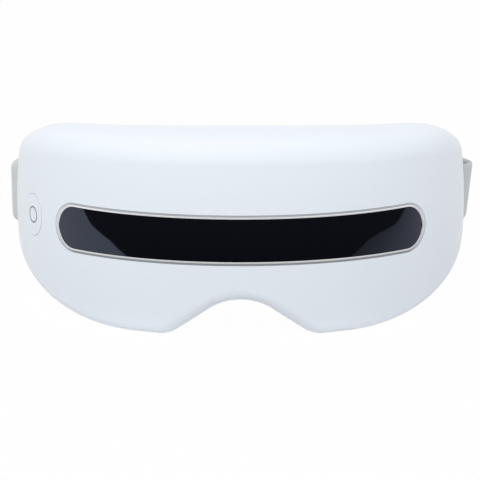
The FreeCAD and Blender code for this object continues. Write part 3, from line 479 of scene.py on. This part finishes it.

# Window trim: a plated bead round the dark panel, and a low grey seat between it and the pocket's wall,
# whose grey is painted shade in the groove.
# Each point of a section is a width outwards from the panel and a height above the skin.
# The bead's and the seat's brightness triples are painted light and shade for the upper run, the ends and
# the lower run: the bead is painted darker at the ends and below, the seat paler at the ends and darker
# below.
trim = {"width": 0.0017, "proud": 0.0005, "endLength": 0.00654, "straightSteps": 90, "endSteps": 24,
        "bead": ((0, -0.0019), (0, -0.00010), (0.00007, 0.00012), (0.00023, 0.00027), (0.00046, 0.00032),
                 (0.00069, 0.00026), (0.00085, 0.00010), (0.00092, -0.00012), (0.00092, -0.0019)),
        "seat": ((0.00092, -0.0019), (0.00092, -0.00036), (0.00172, -0.00030), (0.00172, -0.0019)),
        "seatRise": 0.00026, "beadPaintedShades": (1.0, 0.76, 0.82), "seatPaintedShades": (1.0, 1.6, 0.62), "sharp": 60}


def skinY(x, z, out, axis):
    across = barrel["halfWidth"] + out
    girth = across - barrel["bulge"] * ((z - barrel["middle"]) / barrel["middle"]) ** 2
    return axis - (barrel["depth"] + out) / across * math.sqrt(girth * girth - x * x)


# Rise lifts the ring at its round ends.
# The last argument gives its brightness on the upper run, at the ends and on the lower run: painted light
# and shade for how light falls on each run.
def trimRing(section, rise, paintedShades):
    upper, ends, lower = paintedShades
    low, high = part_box("window_trim")
    axis = low[1] + trim["proud"] + barrel["depth"]
    halfHeight = (high[2] - low[2]) / 2 - trim["width"]
    middle = (high[2] + low[2]) / 2
    straight = high[0] - trim["width"] - trim["endLength"]
    quarter = math.pi / 2
    stations = []
    for side in (1, -1):
        for step in range(trim["straightSteps"]):
            stations.append((side * straight * (2 * step / trim["straightSteps"] - 1), -side * quarter))
        for step in range(trim["endSteps"]):
            stations.append((side * straight, side * quarter * (2 * step / trim["endSteps"] - 1)))
    bm = bmesh.new()
    centreLayer = bm.verts.layers.float.new("centre")
    turnLayer = bm.verts.layers.float.new("turn")
    paintedShadeLayer = bm.verts.layers.float.new("paintedShade")

    def place(vert, margin, out):
        turn = vert[turnLayer]
        centre = vert[centreLayer]
        end = abs(math.cos(turn))
        x = centre + math.copysign(end, centre) * (trim["endLength"] + margin)
        z = middle + math.sin(turn) * (halfHeight + margin)
        vert.co = (x, skinY(x, z, out + rise * end, axis), z)
        run = upper if turn > 0 else lower
        vert[paintedShadeLayer] = run + (ends - run) * end

    loop = []
    for centre, turn in stations:
        vert = bm.verts.new((0, 0, 0))
        vert[centreLayer] = centre
        vert[turnLayer] = turn
        place(vert, *section[0])
        loop.append(vert)
    first = [bm.edges.new(pair) for pair in zip(loop, loop[1:] + loop[:1])]
    edges = first
    for margin, out in section[1:]:
        edges, fresh = extrude(bm, edges)
        for vert in fresh:
            place(vert, margin, out)
    bmesh.ops.bridge_loops(bm, edges=edges + first)
    bmesh.ops.recalc_face_normals(bm, faces=bm.faces)
    return bm


# Multiplies a material's colour by the ring's painted light-and-shade attribute.
def paintShadeBy(material, attribute):
    tree = material.node_tree
    shader = tree.nodes["Principled BSDF"]
    plain = shader.inputs["Base Color"].links[0].from_socket
    source = addNode(tree, "ShaderNodeAttribute", attribute_name=attribute)
    tree.links.new(shadeBy(tree, plain, source.outputs["Fac"]), shader.inputs["Base Color"])


paintShadeBy(library["trimChrome"], "paintedShade")
paintShadeBy(library["trimSeatShadeGrey"], "paintedShade")
trimBead = finishMesh("trimBead", trimRing(trim["bead"], 0, trim["beadPaintedShades"]), library["trimChrome"])
trimSeat = finishMesh("trimSeat", trimRing(trim["seat"], trim["seatRise"], trim["seatPaintedShades"]),
                      library["trimSeatShadeGrey"])
for ring in (trimBead, trimSeat):
    ring.data.set_sharp_from_angle(angle=math.radians(trim["sharp"]))
seat(trimBead, "housing", slotOf["window_trim"], "window_trim")
seat(trimSeat, "housing", slotOf["window_trim"])
print("stage: window trim,", len(trimBead.data.polygons), "faces")


# Head strap: one length of ribbed elastic webbing with a sewn loop at each end
strap = {"centreY": -0.02163, "radius": 0.10563, "z": 0.0457, "width": 0.028, "thickness": 0.0015,
         "loopX": 0.09912, "loopY": 0.00934, "loopRadius": 0.00535, "tabAngle": 62.93, "tabEnd": 56.42,
         "ribs": 22, "ribDepth": 0.00005, "edgeThin": 0.0004, "selvedge": 0.0012, "rows": 88,
         "color": (0.63, 0.66, 0.675, 1), "roughness": 0.8, "pick": 0.0008}
# The spline's points round a loop lie a little outside it, and its two necks lead in and out
strapLoop = {"angles": (157.5, 202.5, 247.5, 292.5, 337.5, 382.5), "outside": 1.1085,
             "inNeck": (0.0937, 0.0195, 0), "outNeck": (0.1009, 0.0192, 0),
             "taper": 2.5, "taperRise": 0.4, "bandGap": 6, "bandSteps": 26}

strapLow = strap["z"] - strap["width"] / 2
webbing = {"Color": strap["color"], "Roughness": strap["roughness"], "Low": strapLow,
           "Rib": strap["width"] / strap["ribs"], "Pick": strap["pick"]}
library["webbingGrey"] = fabric("webbingGrey", ribWeave, webbing, bump=0.22, depth=0.00010,
                                links=[("Along", "along")], Sheen_Weight=0.2)


def onBand(angle, radius):
    turn = math.radians(angle)
    return Vector((radius * math.sin(turn), strap["centreY"] + radius * math.cos(turn), 0))


def loopRoute():
    half = strap["thickness"] / 2
    tab = (strap["tabEnd"], (strap["tabAngle"] + strap["tabEnd"]) / 2, strap["tabAngle"])
    route = [onBand(angle, strap["radius"] - half) for angle in tab]
    route.append(Vector(strapLoop["inNeck"]))
    reach = strap["loopRadius"] * strapLoop["outside"]
    for angle in strapLoop["angles"]:
        turn = math.radians(angle)
        x = strap["loopX"] + reach * math.cos(turn)
        y = strap["loopY"] + reach * math.sin(turn)
        route.append(Vector((x, y, 0)))
    route.append(Vector(strapLoop["outNeck"]))
    route += [onBand(angle, strap["radius"] + half) for angle in reversed(tab)]
    taperRadius = strap["radius"] + half * strapLoop["taperRise"]
    route.append(onBand(strap["tabEnd"] - strapLoop["taper"], taperRadius))
    return route


def ribbon(points):
    bm = bmesh.new()
    along = bm.verts.layers.float.new("along")
    distance = 0
    verts = []
    for place, point in enumerate(points):
        if place:
            distance += (point - points[place - 1]).length
        vert = bm.verts.new((point.x, point.y, strapLow))
        vert[along] = distance
        verts.append(vert)
    edges = [bm.edges.new(pair) for pair in zip(verts, verts[1:])]
    for row in range(strap["rows"]):
        edges, fresh = extrude(bm, edges)
        bmesh.ops.translate(bm, vec=(0, 0, strap["width"] / strap["rows"]), verts=fresh)
    bmesh.ops.recalc_face_normals(bm, faces=bm.faces)
    return bm


def thicken(piece):
    wall = piece.modifiers.new("wall", "SOLIDIFY")
    wall.thickness = strap["thickness"]
    wall.offset = 0
    wall.use_even_offset = True
    applyModifiers(piece)


# Ribs along the webbing, and edges that thin out to the selvedge
def raiseRibs(piece):
    bm = bmesh.new()
    bm.from_mesh(piece.data)
    bm.normal_update()
    pitch = strap["width"] / strap["ribs"]
    upright = 0.2  # a normal with less than this across it belongs to an edge
    for vert in bm.verts:
        up = vert.co.z - strapLow
        near = min(up, strap["width"] - up)
        rise = strap["ribDepth"] * math.cos(2 * math.pi * up / pitch)
        fall = strap["edgeThin"] * (1 - ramp(near, 0, strap["selvedge"]))
        flat = Vector((vert.normal.x, vert.normal.y, 0))
        if flat.length > upright:
            vert.co += flat.normalized() * (rise - fall)
    bm.to_mesh(piece.data)
    bm.free()
    piece.data.shade_smooth()


def webbingPiece(name, points):
    piece = finishMesh(name, ribbon(points), library["webbingGrey"])
    thicken(piece)
    raiseRibs(piece)
    return piece


def strapRoute():
    end = strap["tabEnd"] - strapLoop["bandGap"]
    angleStep = 2 * end / strapLoop["bandSteps"]
    band = [onBand(end - step * angleStep, strap["radius"]) for step in range(strapLoop["bandSteps"] + 1)]
    right = loopRoute()
    left = [Vector((-point.x, point.y, 0)) for point in reversed(right)]
    return right + band + left


# How the loops lean: flare grows with the height, inward is even, corner is the depth of a rounded corner.
# The right one is rounded at its lower corner and drops at the top, the left one is rounded at both.
lean = {"out": (0.0965, 0.1025), "back": (0.014, 0.024), "cornerStart": 0.70, "deepest": -0.0042,
        "right": {"flare": 0.0014, "inward": 0.0013, "corner": 0.0026},
        "left": {"flare": 0.0002, "inward": 0.0012, "corner": 0.0028},
        "drop": 0.0010, "dropOut": (0.090, 0.096), "dropBack": (0.016, 0.030)}


def leanLoops(piece):
    for vert in piece.data.vertices:
        side = "right" if vert.co.x > 0 else "left"
        out = abs(vert.co.x)
        share = ramp(out, *lean["out"]) * (1 - ramp(vert.co.y, *lean["back"]))
        lift = (vert.co.z - strap["z"]) / (strap["width"] / 2)
        edge = -lift if side == "right" else abs(lift)
        corner = max(0, (edge - lean["cornerStart"]) / (1 - lean["cornerStart"]))
        push = lean[side]["flare"] * lift - lean[side]["inward"]
        push -= lean[side]["corner"] * (1 - math.sqrt(max(0, 1 - corner * corner)))
        if side == "right":
            drawn = ramp(out, *lean["dropOut"]) * (1 - ramp(vert.co.y, *lean["dropBack"]))
            vert.co.z -= drawn * lean["drop"] * (1 + lift) / 2
        vert.co.x += sides[side] * max(push, lean["deepest"]) * share


headStrap = webbingPiece("headStrapWebbing", routePoints(strapRoute()))
leanLoops(headStrap)
seat(headStrap, "housing", "strap_webbing", "head_strap")
print("stage: head strap,", len(headStrap.data.polygons), "faces")

# The strap's returning layer between the slider and the sewn tab
tail = {"start": 39.3, "end": 56.2, "radius": 0.10403, "points": 16}
tailStep = (tail["end"] - tail["start"]) / tail["points"]
tailRoute = [onBand(tail["start"] + step * tailStep, tail["radius"]) for step in range(tail["points"] + 1)]
strapTail = webbingPiece("strapTailWebbing", routePoints(tailRoute, steps=6))
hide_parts("strap_tail")
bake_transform(strapTail)
print("stage: strap tail")


# Rows of sewn stitches, each a short rounded thread
def sewStitches(name, places, thread):
    bm = bmesh.new()
    size = Matrix.Diagonal((thread["length"] / 2, thread["thick"] / 2, thread["thick"] / 2, 1))
    for spot, ahead, out in places:
        side = out.cross(ahead).normalized()
        basis = Matrix((ahead.normalized(), side, out.normalized())).transposed().to_4x4()
        place = Matrix.Translation(spot) @ basis @ size
        bmesh.ops.create_icosphere(bm, subdivisions=2, radius=1, matrix=place)
    return finishMesh(name, bm, library["threadPale"])


stitch = {"length": 0.0021, "thick": 0.00042, "pitch": 0.0028, "inset": 0.0022, "margin": 0.0016,
          "proud": 0.00002}


def tabStitches(side):
    places = []
    radius = strap["radius"] + strap["thickness"] + stitch["proud"]
    angleStep = math.degrees(stitch["pitch"] / radius)
    margin = math.degrees(stitch["margin"] / radius)
    low = strap["tabEnd"] + margin
    high = strap["tabAngle"] - margin
    rise = int((strap["width"] - 2 * stitch["inset"]) / stitch["pitch"])
    for angle in (low, high):
        for step in range(rise + 1):
            place = onBand(side * angle, radius)
            place.z = strap["z"] - rise * stitch["pitch"] / 2 + step * stitch["pitch"]
            out = (place - Vector((0, strap["centreY"], place.z))).normalized()
            places.append((place, Vector((0, 0, 1)), out))
    count = int((high - low) / angleStep)
    for level in (-1, 1):
        for step in range(count):
            angle = low + (step + 0.5) * (high - low) / count
            place = onBand(side * angle, radius)
            place.z = strap["z"] + level * rise * stitch["pitch"] / 2
            out = (place - Vector((0, strap["centreY"], place.z))).normalized()
            places.append((place, out.cross(Vector((0, 0, 1))), out))
    return places


for label, side in sides.items():
    rows = sewStitches(label + "TabStitches", tabStitches(side), stitch)
    seat(rows, "housing", "strap_webbing")
print("stage: tab stitches")


# Cushions and pads: a merged copy of the solid, remeshed, drawn in, then swelled by cloth pressure
axisY = 0.08595  # the parting cylinder's upright axis
mergeGap = 0.00001  # the solid's faces come with corners of their own
eyes = {"x": 0.0332, "z": 0.046, "halfWidth": 0.02716, "halfHeight": 0.021}
# Named as the cloth settings are
stuffing = {"quality": 5, "mass": 0.3, "tension_stiffness": 15, "compression_stiffness": 15,
            "shear_stiffness": 5, "bending_stiffness": 0.5, "use_pressure": True}
stuffingFrames = 20
creaseLimits = {"facing": 0.3, "reach": 3}  # how far a face turns to the wearer, and widths from the seam


def depthOf(point):
    return math.hypot(point.x, axisY - point.y)


def frontY(x, depth):
    return axisY - math.sqrt(depth * depth - x * x)


def softCopy(node, name, voxel, inset, material):
    bm = bmesh.new()
    bm.from_mesh(nodes[node].data)
    bmesh.ops.remove_doubles(bm, verts=bm.verts, dist=mergeGap)
    piece = finishMesh(name, bm, material)
    cells = piece.modifiers.new("cells", "REMESH")
    cells.mode = "VOXEL"
    cells.voxel_size = voxel
    applyModifiers(piece)
    normals = [vertex.normal.copy() for vertex in piece.data.vertices]
    for vertex, normal in zip(piece.data.vertices, normals):
        vertex.co -= normal * inset
    return piece


# Vertices in front of a depth are held; the others move no further than their cap
def swell(piece, front, pressure, capOf):
    before = [vertex.co.copy() for vertex in piece.data.vertices]
    group = piece.vertex_groups.new(name="held")
    held = [vertex.index for vertex in piece.data.vertices if depthOf(vertex.co) > front]
    group.add(held, 1.0, "REPLACE")
    cloth = piece.modifiers.new("stuffing", "CLOTH")
    for label, value in stuffing.items():
        setattr(cloth.settings, label, value)
    cloth.settings.uniform_pressure_force = pressure
    cloth.settings.vertex_group_mass = "held"
    cloth.settings.effector_weights.gravity = 0
    cloth.point_cache.frame_start = 1
    cloth.point_cache.frame_end = stuffingFrames
    for number in range(1, stuffingFrames + 1):
        scene.frame_set(number)
    applyModifiers(piece)
    scene.frame_set(1)
    for vertex, was in zip(piece.data.vertices, before):
        move = vertex.co - was
        cap = capOf(was)
        if move.length > cap:
            vertex.co = was + move * (cap / move.length)


def smoothOut(piece, rounds):
    bm = bmesh.new()
    bm.from_mesh(piece.data)
    for step in range(rounds):
        bmesh.ops.smooth_vert(bm, verts=bm.verts, factor=0.5,
                              use_axis_x=True, use_axis_y=True, use_axis_z=True)
    bm.to_mesh(piece.data)
    bm.free()


def refine(piece):
    finer = piece.modifiers.new("finer", "SUBSURF")
    finer.levels = 1
    finer.render_levels = 1
    applyModifiers(piece)
    piece.data.shade_smooth()


def eyeShare(point, offset):
    x = (abs(point.x) - eyes["x"]) / (eyes["halfWidth"] + offset)
    z = (point.z - eyes["z"]) / (eyes["halfHeight"] + offset)
    return math.hypot(x, z)


def creaseRound(piece, offset, width, depth):
    mean = (eyes["halfWidth"] + eyes["halfHeight"]) / 2 + offset
    normals = [vertex.normal.copy() for vertex in piece.data.vertices]
    for vertex, normal in zip(piece.data.vertices, normals):
        away = (eyeShare(vertex.co, offset) - 1) * mean / width
        if normal.y > creaseLimits["facing"] and abs(away) < creaseLimits["reach"]:
            vertex.co -= normal * depth * math.exp(-away * away)


def softPiece(node, name, look, material, capOf):
    piece = softCopy(node, name, look["voxel"], look["inset"], library[material])
    swell(piece, look["front"], look["pressure"], capOf)
    smoothOut(piece, rounds=2)
    refine(piece)
    creaseRound(piece, look["seamOut"], look["seamWidth"], look["seamDepth"])
    return piece


cushion = {"voxel": 0.0022, "inset": 0.0009, "swell": 0.0026, "eyeSwell": 0.0004, "eyeShares": (1.05, 1.4),
           "pressure": 4.0, "front": 0.127, "seamOut": 0.0042, "seamWidth": 0.0011, "seamDepth": 0.0009,
           "thread": {"pitch": 0.0034, "length": 0.0025, "thick": 0.00055}, "floor": 0.0004, "fill": 0.7}


# The cushion swells less near the eye openings
def cushionCap(point):
    return cushion["eyeSwell"] + cushion["swell"] * ramp(eyeShare(point, 0), *cushion["eyeShares"])


faceCushion = softPiece("face_cushion", "faceCushion", cushion, "cushionSkin", cushionCap)
for vertex in faceCushion.data.vertices:
    vertex.co.z = max(vertex.co.z, cushion["floor"])
seat(faceCushion, "housing", "cushion_skin", "face_cushion")
print("stage: face cushion,", len(faceCushion.data.polygons), "faces")


behindAll = 0.2  # a place behind every piece
seamProud = 0.0001  # a seam's threads above the skin


# Where a line from behind meets a soft piece
def skinFinder(piece):
    bm = bmesh.new()
    bm.from_mesh(piece.data)
    tree = BVHTree.FromBMesh(bm)
    bm.free()

    def find(x, z):
        spot, normal, face, far = tree.ray_cast(Vector((x, behindAll, z)), Vector((0, -1, 0)))
        return spot, normal
    return find


def eyeStitches(find, side, look):
    width = eyes["halfWidth"] + look["seamOut"]
    height = eyes["halfHeight"] + look["seamOut"]
    count = int(math.pi * (width + height) / look["thread"]["pitch"])
    places = []
    for step in range(count):
        turn = 2 * math.pi * step / count
        x = side * eyes["x"] + width * math.cos(turn)
        z = eyes["z"] + height * math.sin(turn)
        spot, normal = find(x, z)
        ahead = Vector((-width * math.sin(turn), 0, height * math.cos(turn)))
        ahead -= normal * ahead.dot(normal)
        places.append((spot + normal * seamProud, ahead, normal))
    return places


findCushion = skinFinder(faceCushion)
for label, side in sides.items():
    ring = sewStitches(label + "EyeSeam", eyeStitches(findCushion, side, cushion), cushion["thread"])
    seat(ring, "housing", "cushion_skin")
print("stage: eye seams")


# Piping round the cushion's side, at one depth behind the parting surface
piping = {"depth": 0.1223, "spacing": 0.0042, "radius": 0.0008, "eyeClear": 1.12, "steps": 3}


def rimRoute(piece):
    spots = []
    mesh = piece.data
    for edge in mesh.edges:
        first, second = (mesh.vertices[index].co for index in edge.vertices)
        before = depthOf(first) - piping["depth"]
        after = depthOf(second) - piping["depth"]
        if before * after < 0:
            spot = first.lerp(second, before / (before - after))
            if eyeShare(spot, 0) > piping["eyeClear"]:
                spots.append(spot)
    spots.sort(key=lambda spot: math.atan2(spot.z - eyes["z"], spot.x))
    route = [spots[0]]
    for spot in spots[1:]:
        if (spot - route[-1]).length > piping["spacing"]:
            route.append(spot)
    return route


pipingTube = routeMesh(rimRoute(faceCushion), piping["steps"], closed=True, radius=piping["radius"])
cushionPiping = linkMesh("cushionPiping", pipingTube, library["cushionSkin"])
seat(cushionPiping, "housing", "cushion_skin")
print("stage: cushion piping")

# Eye pads: one is made, the other is its mirror image
pad = {"voxel": 0.0015, "inset": 0.0005, "swell": 0.0012, "pressure": 4.0, "front": 0.1233,
       "seamOut": -0.0055, "seamWidth": 0.0009, "seamDepth": 0.0007,
       "thread": {"pitch": 0.0030, "length": 0.0021, "thick": 0.00045}, "fill": 0.6}


def padCap(point):
    return pad["swell"]


def mirrorMesh(piece, name):
    bm = bmesh.new()
    bm.from_mesh(piece.data)
    bmesh.ops.scale(bm, vec=(-1, 1, 1), verts=bm.verts)
    bmesh.ops.recalc_face_normals(bm, faces=bm.faces)
    return finishMesh(name, bm, piece.data.materials[0])


rightPad = softPiece("right_eye_pad", "rightEyePad", pad, "padKnit", padCap)
leftPad = mirrorMesh(rightPad, "leftEyePad")
padStitches = eyeStitches(skinFinder(rightPad), sides["right"], pad)
rightPadSeam = sewStitches("rightPadSeam", padStitches, pad["thread"])
leftPadSeam = mirrorMesh(rightPadSeam, "leftPadSeam")
for piece, seam, body in ((rightPad, rightPadSeam, "right_eye_pad"),
                          (leftPad, leftPadSeam, "left_eye_pad")):
    seat(piece, body, "pad_cloth", body)
    seat(seam, body, "pad_cloth")
print("stage: eye pads,", len(rightPad.data.polygons), "faces each")

# Airbags: welded film pillows that stretch between the frame and the pads
bag = {"halfWidth": 0.0238, "halfHeight": 0.0178, "front": 0.1311, "rear": 0.1265, "weld": 0.92,
       "weldHalf": 0.01, "crownPower": 0.6, "around": 56, "across": 24,
       "nozzleRadius": 0.0016, "nozzleLength": 0.003, "nozzleRoot": 0.002, "nozzleZ": 0.034}
mouthY = frontY(eyes["x"], bag["front"])


def airPillow():
    bm = bmesh.new()
    bmesh.ops.create_uvsphere(bm, u_segments=bag["around"], v_segments=bag["across"], radius=1)
    bmesh.ops.rotate(bm, cent=(0, 0, 0), matrix=Matrix.Rotation(math.pi / 2, 3, "X"), verts=bm.verts)
    middle = (bag["front"] + bag["rear"]) / 2
    half = (bag["front"] - bag["rear"]) / 2
    for vert in bm.verts:
        spread = 1 if abs(vert.co.y) < bag["weldHalf"] else bag["weld"]
        crown = math.copysign(abs(vert.co.y) ** bag["crownPower"], vert.co.y)
        x = eyes["x"] + bag["halfWidth"] * vert.co.x * spread
        z = eyes["z"] + bag["halfHeight"] * vert.co.z * spread
        vert.co = (x, frontY(x, middle - half * crown), z)
    nozzleY = mouthY + (bag["nozzleRoot"] - bag["nozzleLength"]) / 2
    nozzle = Matrix.Translation((eyes["x"], nozzleY, bag["nozzleZ"])) @ Matrix.Rotation(math.pi / 2, 4, "X")
    bmesh.ops.create_cone(bm, cap_ends=True, segments=20, matrix=nozzle,
                          radius1=bag["nozzleRadius"], radius2=bag["nozzleRadius"],
                          depth=bag["nozzleLength"] + bag["nozzleRoot"])
    bmesh.ops.recalc_face_normals(bm, faces=bm.faces)
    return finishMesh("rightAirbag", bm, library["airbagFilm"])


rightBag = airPillow()
leftBag = mirrorMesh(rightBag, "leftAirbag")
for piece, side, body, node in ((rightBag, 1, "right_eye_pad", "right_airbag"),
                                (leftBag, -1, "left_eye_pad", "left_airbag")):
    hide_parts(node)
    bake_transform(piece)
print("stage: airbags")


# Floor, lamps and world. The floor is paler under the part: near and far are shares of its footprint.
studio = {"floorSize": 6.0, "floorColor": 0.66, "nearColor": 0.91, "footprint": (0.1006, 0.0846, 1.0),
          "near": 0.97, "far": 1.07, "floorWhite": 0.98, "ambient": 0.75, "aim": (0, -0.03, 0.045)}


def floorPlane():
    bm = bmesh.new()
    bmesh.ops.create_grid(bm, x_segments=1, y_segments=1, size=studio["floorSize"] / 2)
    return bm


# Plain white to the camera and in mirrors, by a share; the shading itself to everything else
def whiteWhenSeen(tree, shade, white):
    path = tree.nodes.new("ShaderNodeLightPath")
    glow = addNode(tree, "ShaderNodeEmission", Strength=1.0)
    glow.inputs["Color"].default_value = (1, 1, 1, 1)
    seen = calc(tree, "MAXIMUM", path.outputs["Is Camera Ray"], path.outputs["Is Glossy Ray"])
    seen = calc(tree, "MAXIMUM", seen, path.outputs["Is Transmission Ray"])
    share = calc(tree, "MULTIPLY", seen, white)
    mix = tree.nodes.new("ShaderNodeMixShader")
    tree.links.new(share, mix.inputs["Fac"])
    tree.links.new(shade, mix.inputs[1])
    tree.links.new(glow.outputs[0], mix.inputs[2])
    return mix.outputs[0]


floorMaterial, floorTree, floorShader = newMaterial("floorPale", Roughness=0.9, Specular_IOR_Level=0.0)
floorPlace = addNode(floorTree, "ShaderNodeTexCoord")
floorReach = addNode(floorTree, "ShaderNodeVectorMath", operation="DIVIDE")
floorReach.inputs[1].default_value = studio["footprint"]
floorAway = addNode(floorTree, "ShaderNodeVectorMath", operation="LENGTH")
floorRange = addNode(floorTree, "ShaderNodeMapRange", From_Min=studio["near"], From_Max=studio["far"],
                     To_Min=studio["nearColor"], To_Max=studio["floorColor"])
floorTree.links.new(floorPlace.outputs["Object"], floorReach.inputs[0])
floorTree.links.new(floorReach.outputs["Vector"], floorAway.inputs[0])
floorTree.links.new(floorAway.outputs["Value"], floorRange.inputs["Value"])
floorTree.links.new(floorRange.outputs["Result"], floorShader.inputs["Base Color"])
floorEnd = floorTree.nodes["Material Output"]
floorSeen = whiteWhenSeen(floorTree, floorShader.outputs[0], studio["floorWhite"])
floorTree.links.new(floorSeen, floorEnd.inputs["Surface"])
finishMesh("floor", floorPlane(), floorMaterial)

# A dark sheet on the floor in front, seen only in reflections: a painted reflection whose near edge the
# window mirrors.
card = {"edge": ((-0.6, -0.095), (-0.44, -0.118), (-0.33, -0.133), (-0.24, -0.142), (-0.16, -0.147),
                 (0, -0.148), (0.16, -0.150), (0.225, -0.152), (0.265, -0.130), (0.33, -0.106),
                 (0.40, -0.094), (0.6, -0.08)),
        "lift": 0.0005, "depth": 1.6, "color": (0.008, 0.009, 0.012)}


def cardSheet():
    bm = bmesh.new()
    route = [(x, y, card["lift"]) for x, y in card["edge"]]
    verts = [bm.verts.new(point) for point in routePoints(route, steps=6)]
    edges = [bm.edges.new(pair) for pair in zip(verts, verts[1:])]
    far = extrude(bm, edges)[1]
    bmesh.ops.translate(bm, vec=(0, -card["depth"], 0), verts=far)
    return bm


cardMaterial = newMaterial("paintedReflectionDark", Roughness=0.8, Base_Color=(*card["color"], 1))[0]
darkReflectionSheet = finishMesh("darkReflectionSheet", cardSheet(), cardMaterial)

# A glowing sheet beside it on the right, paler towards the object and seen only in reflections: a painted
# reflection of light that the window's right end mirrors.
glowSheet = {"low": (0.10, -0.17), "high": (0.60, 0.05), "lift": 0.0003, "darkY": -0.145, "paleY": -0.045,
            "dark": 0.30, "pale": 0.80}


def cardPatch():
    bm = bmesh.new()
    bmesh.ops.create_grid(bm, x_segments=1, y_segments=1, size=0.5)
    span = [high - low for low, high in zip(glowSheet["low"], glowSheet["high"])]
    middle = [(high + low) / 2 for low, high in zip(glowSheet["low"], glowSheet["high"])]
    bmesh.ops.scale(bm, vec=(*span, 1), verts=bm.verts)
    bmesh.ops.translate(bm, vec=(*middle, glowSheet["lift"]), verts=bm.verts)
    return bm


glowSheetMaterial = bpy.data.materials.new("paintedReflectionGlow")
glowSheetMaterial.use_nodes = True
greyTree = glowSheetMaterial.node_tree
greyTree.nodes.clear()
greyPlace = addNode(greyTree, "ShaderNodeTexCoord")
greyApart = addNode(greyTree, "ShaderNodeSeparateXYZ")
greyRange = addNode(greyTree, "ShaderNodeMapRange", From_Min=glowSheet["darkY"], From_Max=glowSheet["paleY"],
                    To_Min=glowSheet["dark"], To_Max=glowSheet["pale"])
greyGlow = addNode(greyTree, "ShaderNodeEmission")
greyEnd = addNode(greyTree, "ShaderNodeOutputMaterial")
greyTree.links.new(greyPlace.outputs["Object"], greyApart.inputs[0])
greyTree.links.new(greyApart.outputs["Y"], greyRange.inputs["Value"])
greyTree.links.new(greyRange.outputs["Result"], greyGlow.inputs["Strength"])
greyTree.links.new(greyGlow.outputs[0], greyEnd.inputs["Surface"])
glowReflectionSheet = finishMesh("glowReflectionSheet", cardPatch(), glowSheetMaterial)
# Both sheets are hidden from the camera, from diffuse light and from shadows, so they are seen only as
# painted reflections.
for sheet in (darkReflectionSheet, glowReflectionSheet):
    sheet.visible_camera = False
    sheet.visible_diffuse = False
    sheet.visible_shadow = False
    sheet.visible_transmission = False

world = bpy.data.worlds.new("studioWorld")
scene.world = world
world.use_nodes = True
worldTree = world.node_tree
worldTree.nodes.clear()
worldEnd = worldTree.nodes.new("ShaderNodeOutputWorld")
dim = addNode(worldTree, "ShaderNodeBackground", Strength=studio["ambient"])
dim.inputs["Color"].default_value = (1, 1, 1, 1)
worldTree.links.new(whiteWhenSeen(worldTree, dim.outputs[0], 1.0), worldEnd.inputs["Surface"])

lamps = {
    "keyLamp": {"place": (-0.55, -0.95, 1.15), "size": 0.9, "power": 7.6},
    "fillLamp": {"place": (0.9, -0.8, 0.6), "size": 0.9, "power": 1.6},
    "topLamp": {"place": (0.0, 0.1, 1.3), "size": 1.0, "power": 0.5},
}
for name, lamp in lamps.items():
    data = bpy.data.lights.new(name, "AREA")
    data.shape = "SQUARE"
    data.size = lamp["size"]
    data.energy = lamp["power"]
    thing = bpy.data.objects.new(name, data)
    scene.collection.objects.link(thing)
    thing.location = lamp["place"]
    aim = Vector(studio["aim"]) - thing.location
    thing.rotation_euler = aim.to_track_quat("-Z", "Y").to_euler()
    thing.visible_glossy = False
print("stage: studio lit")
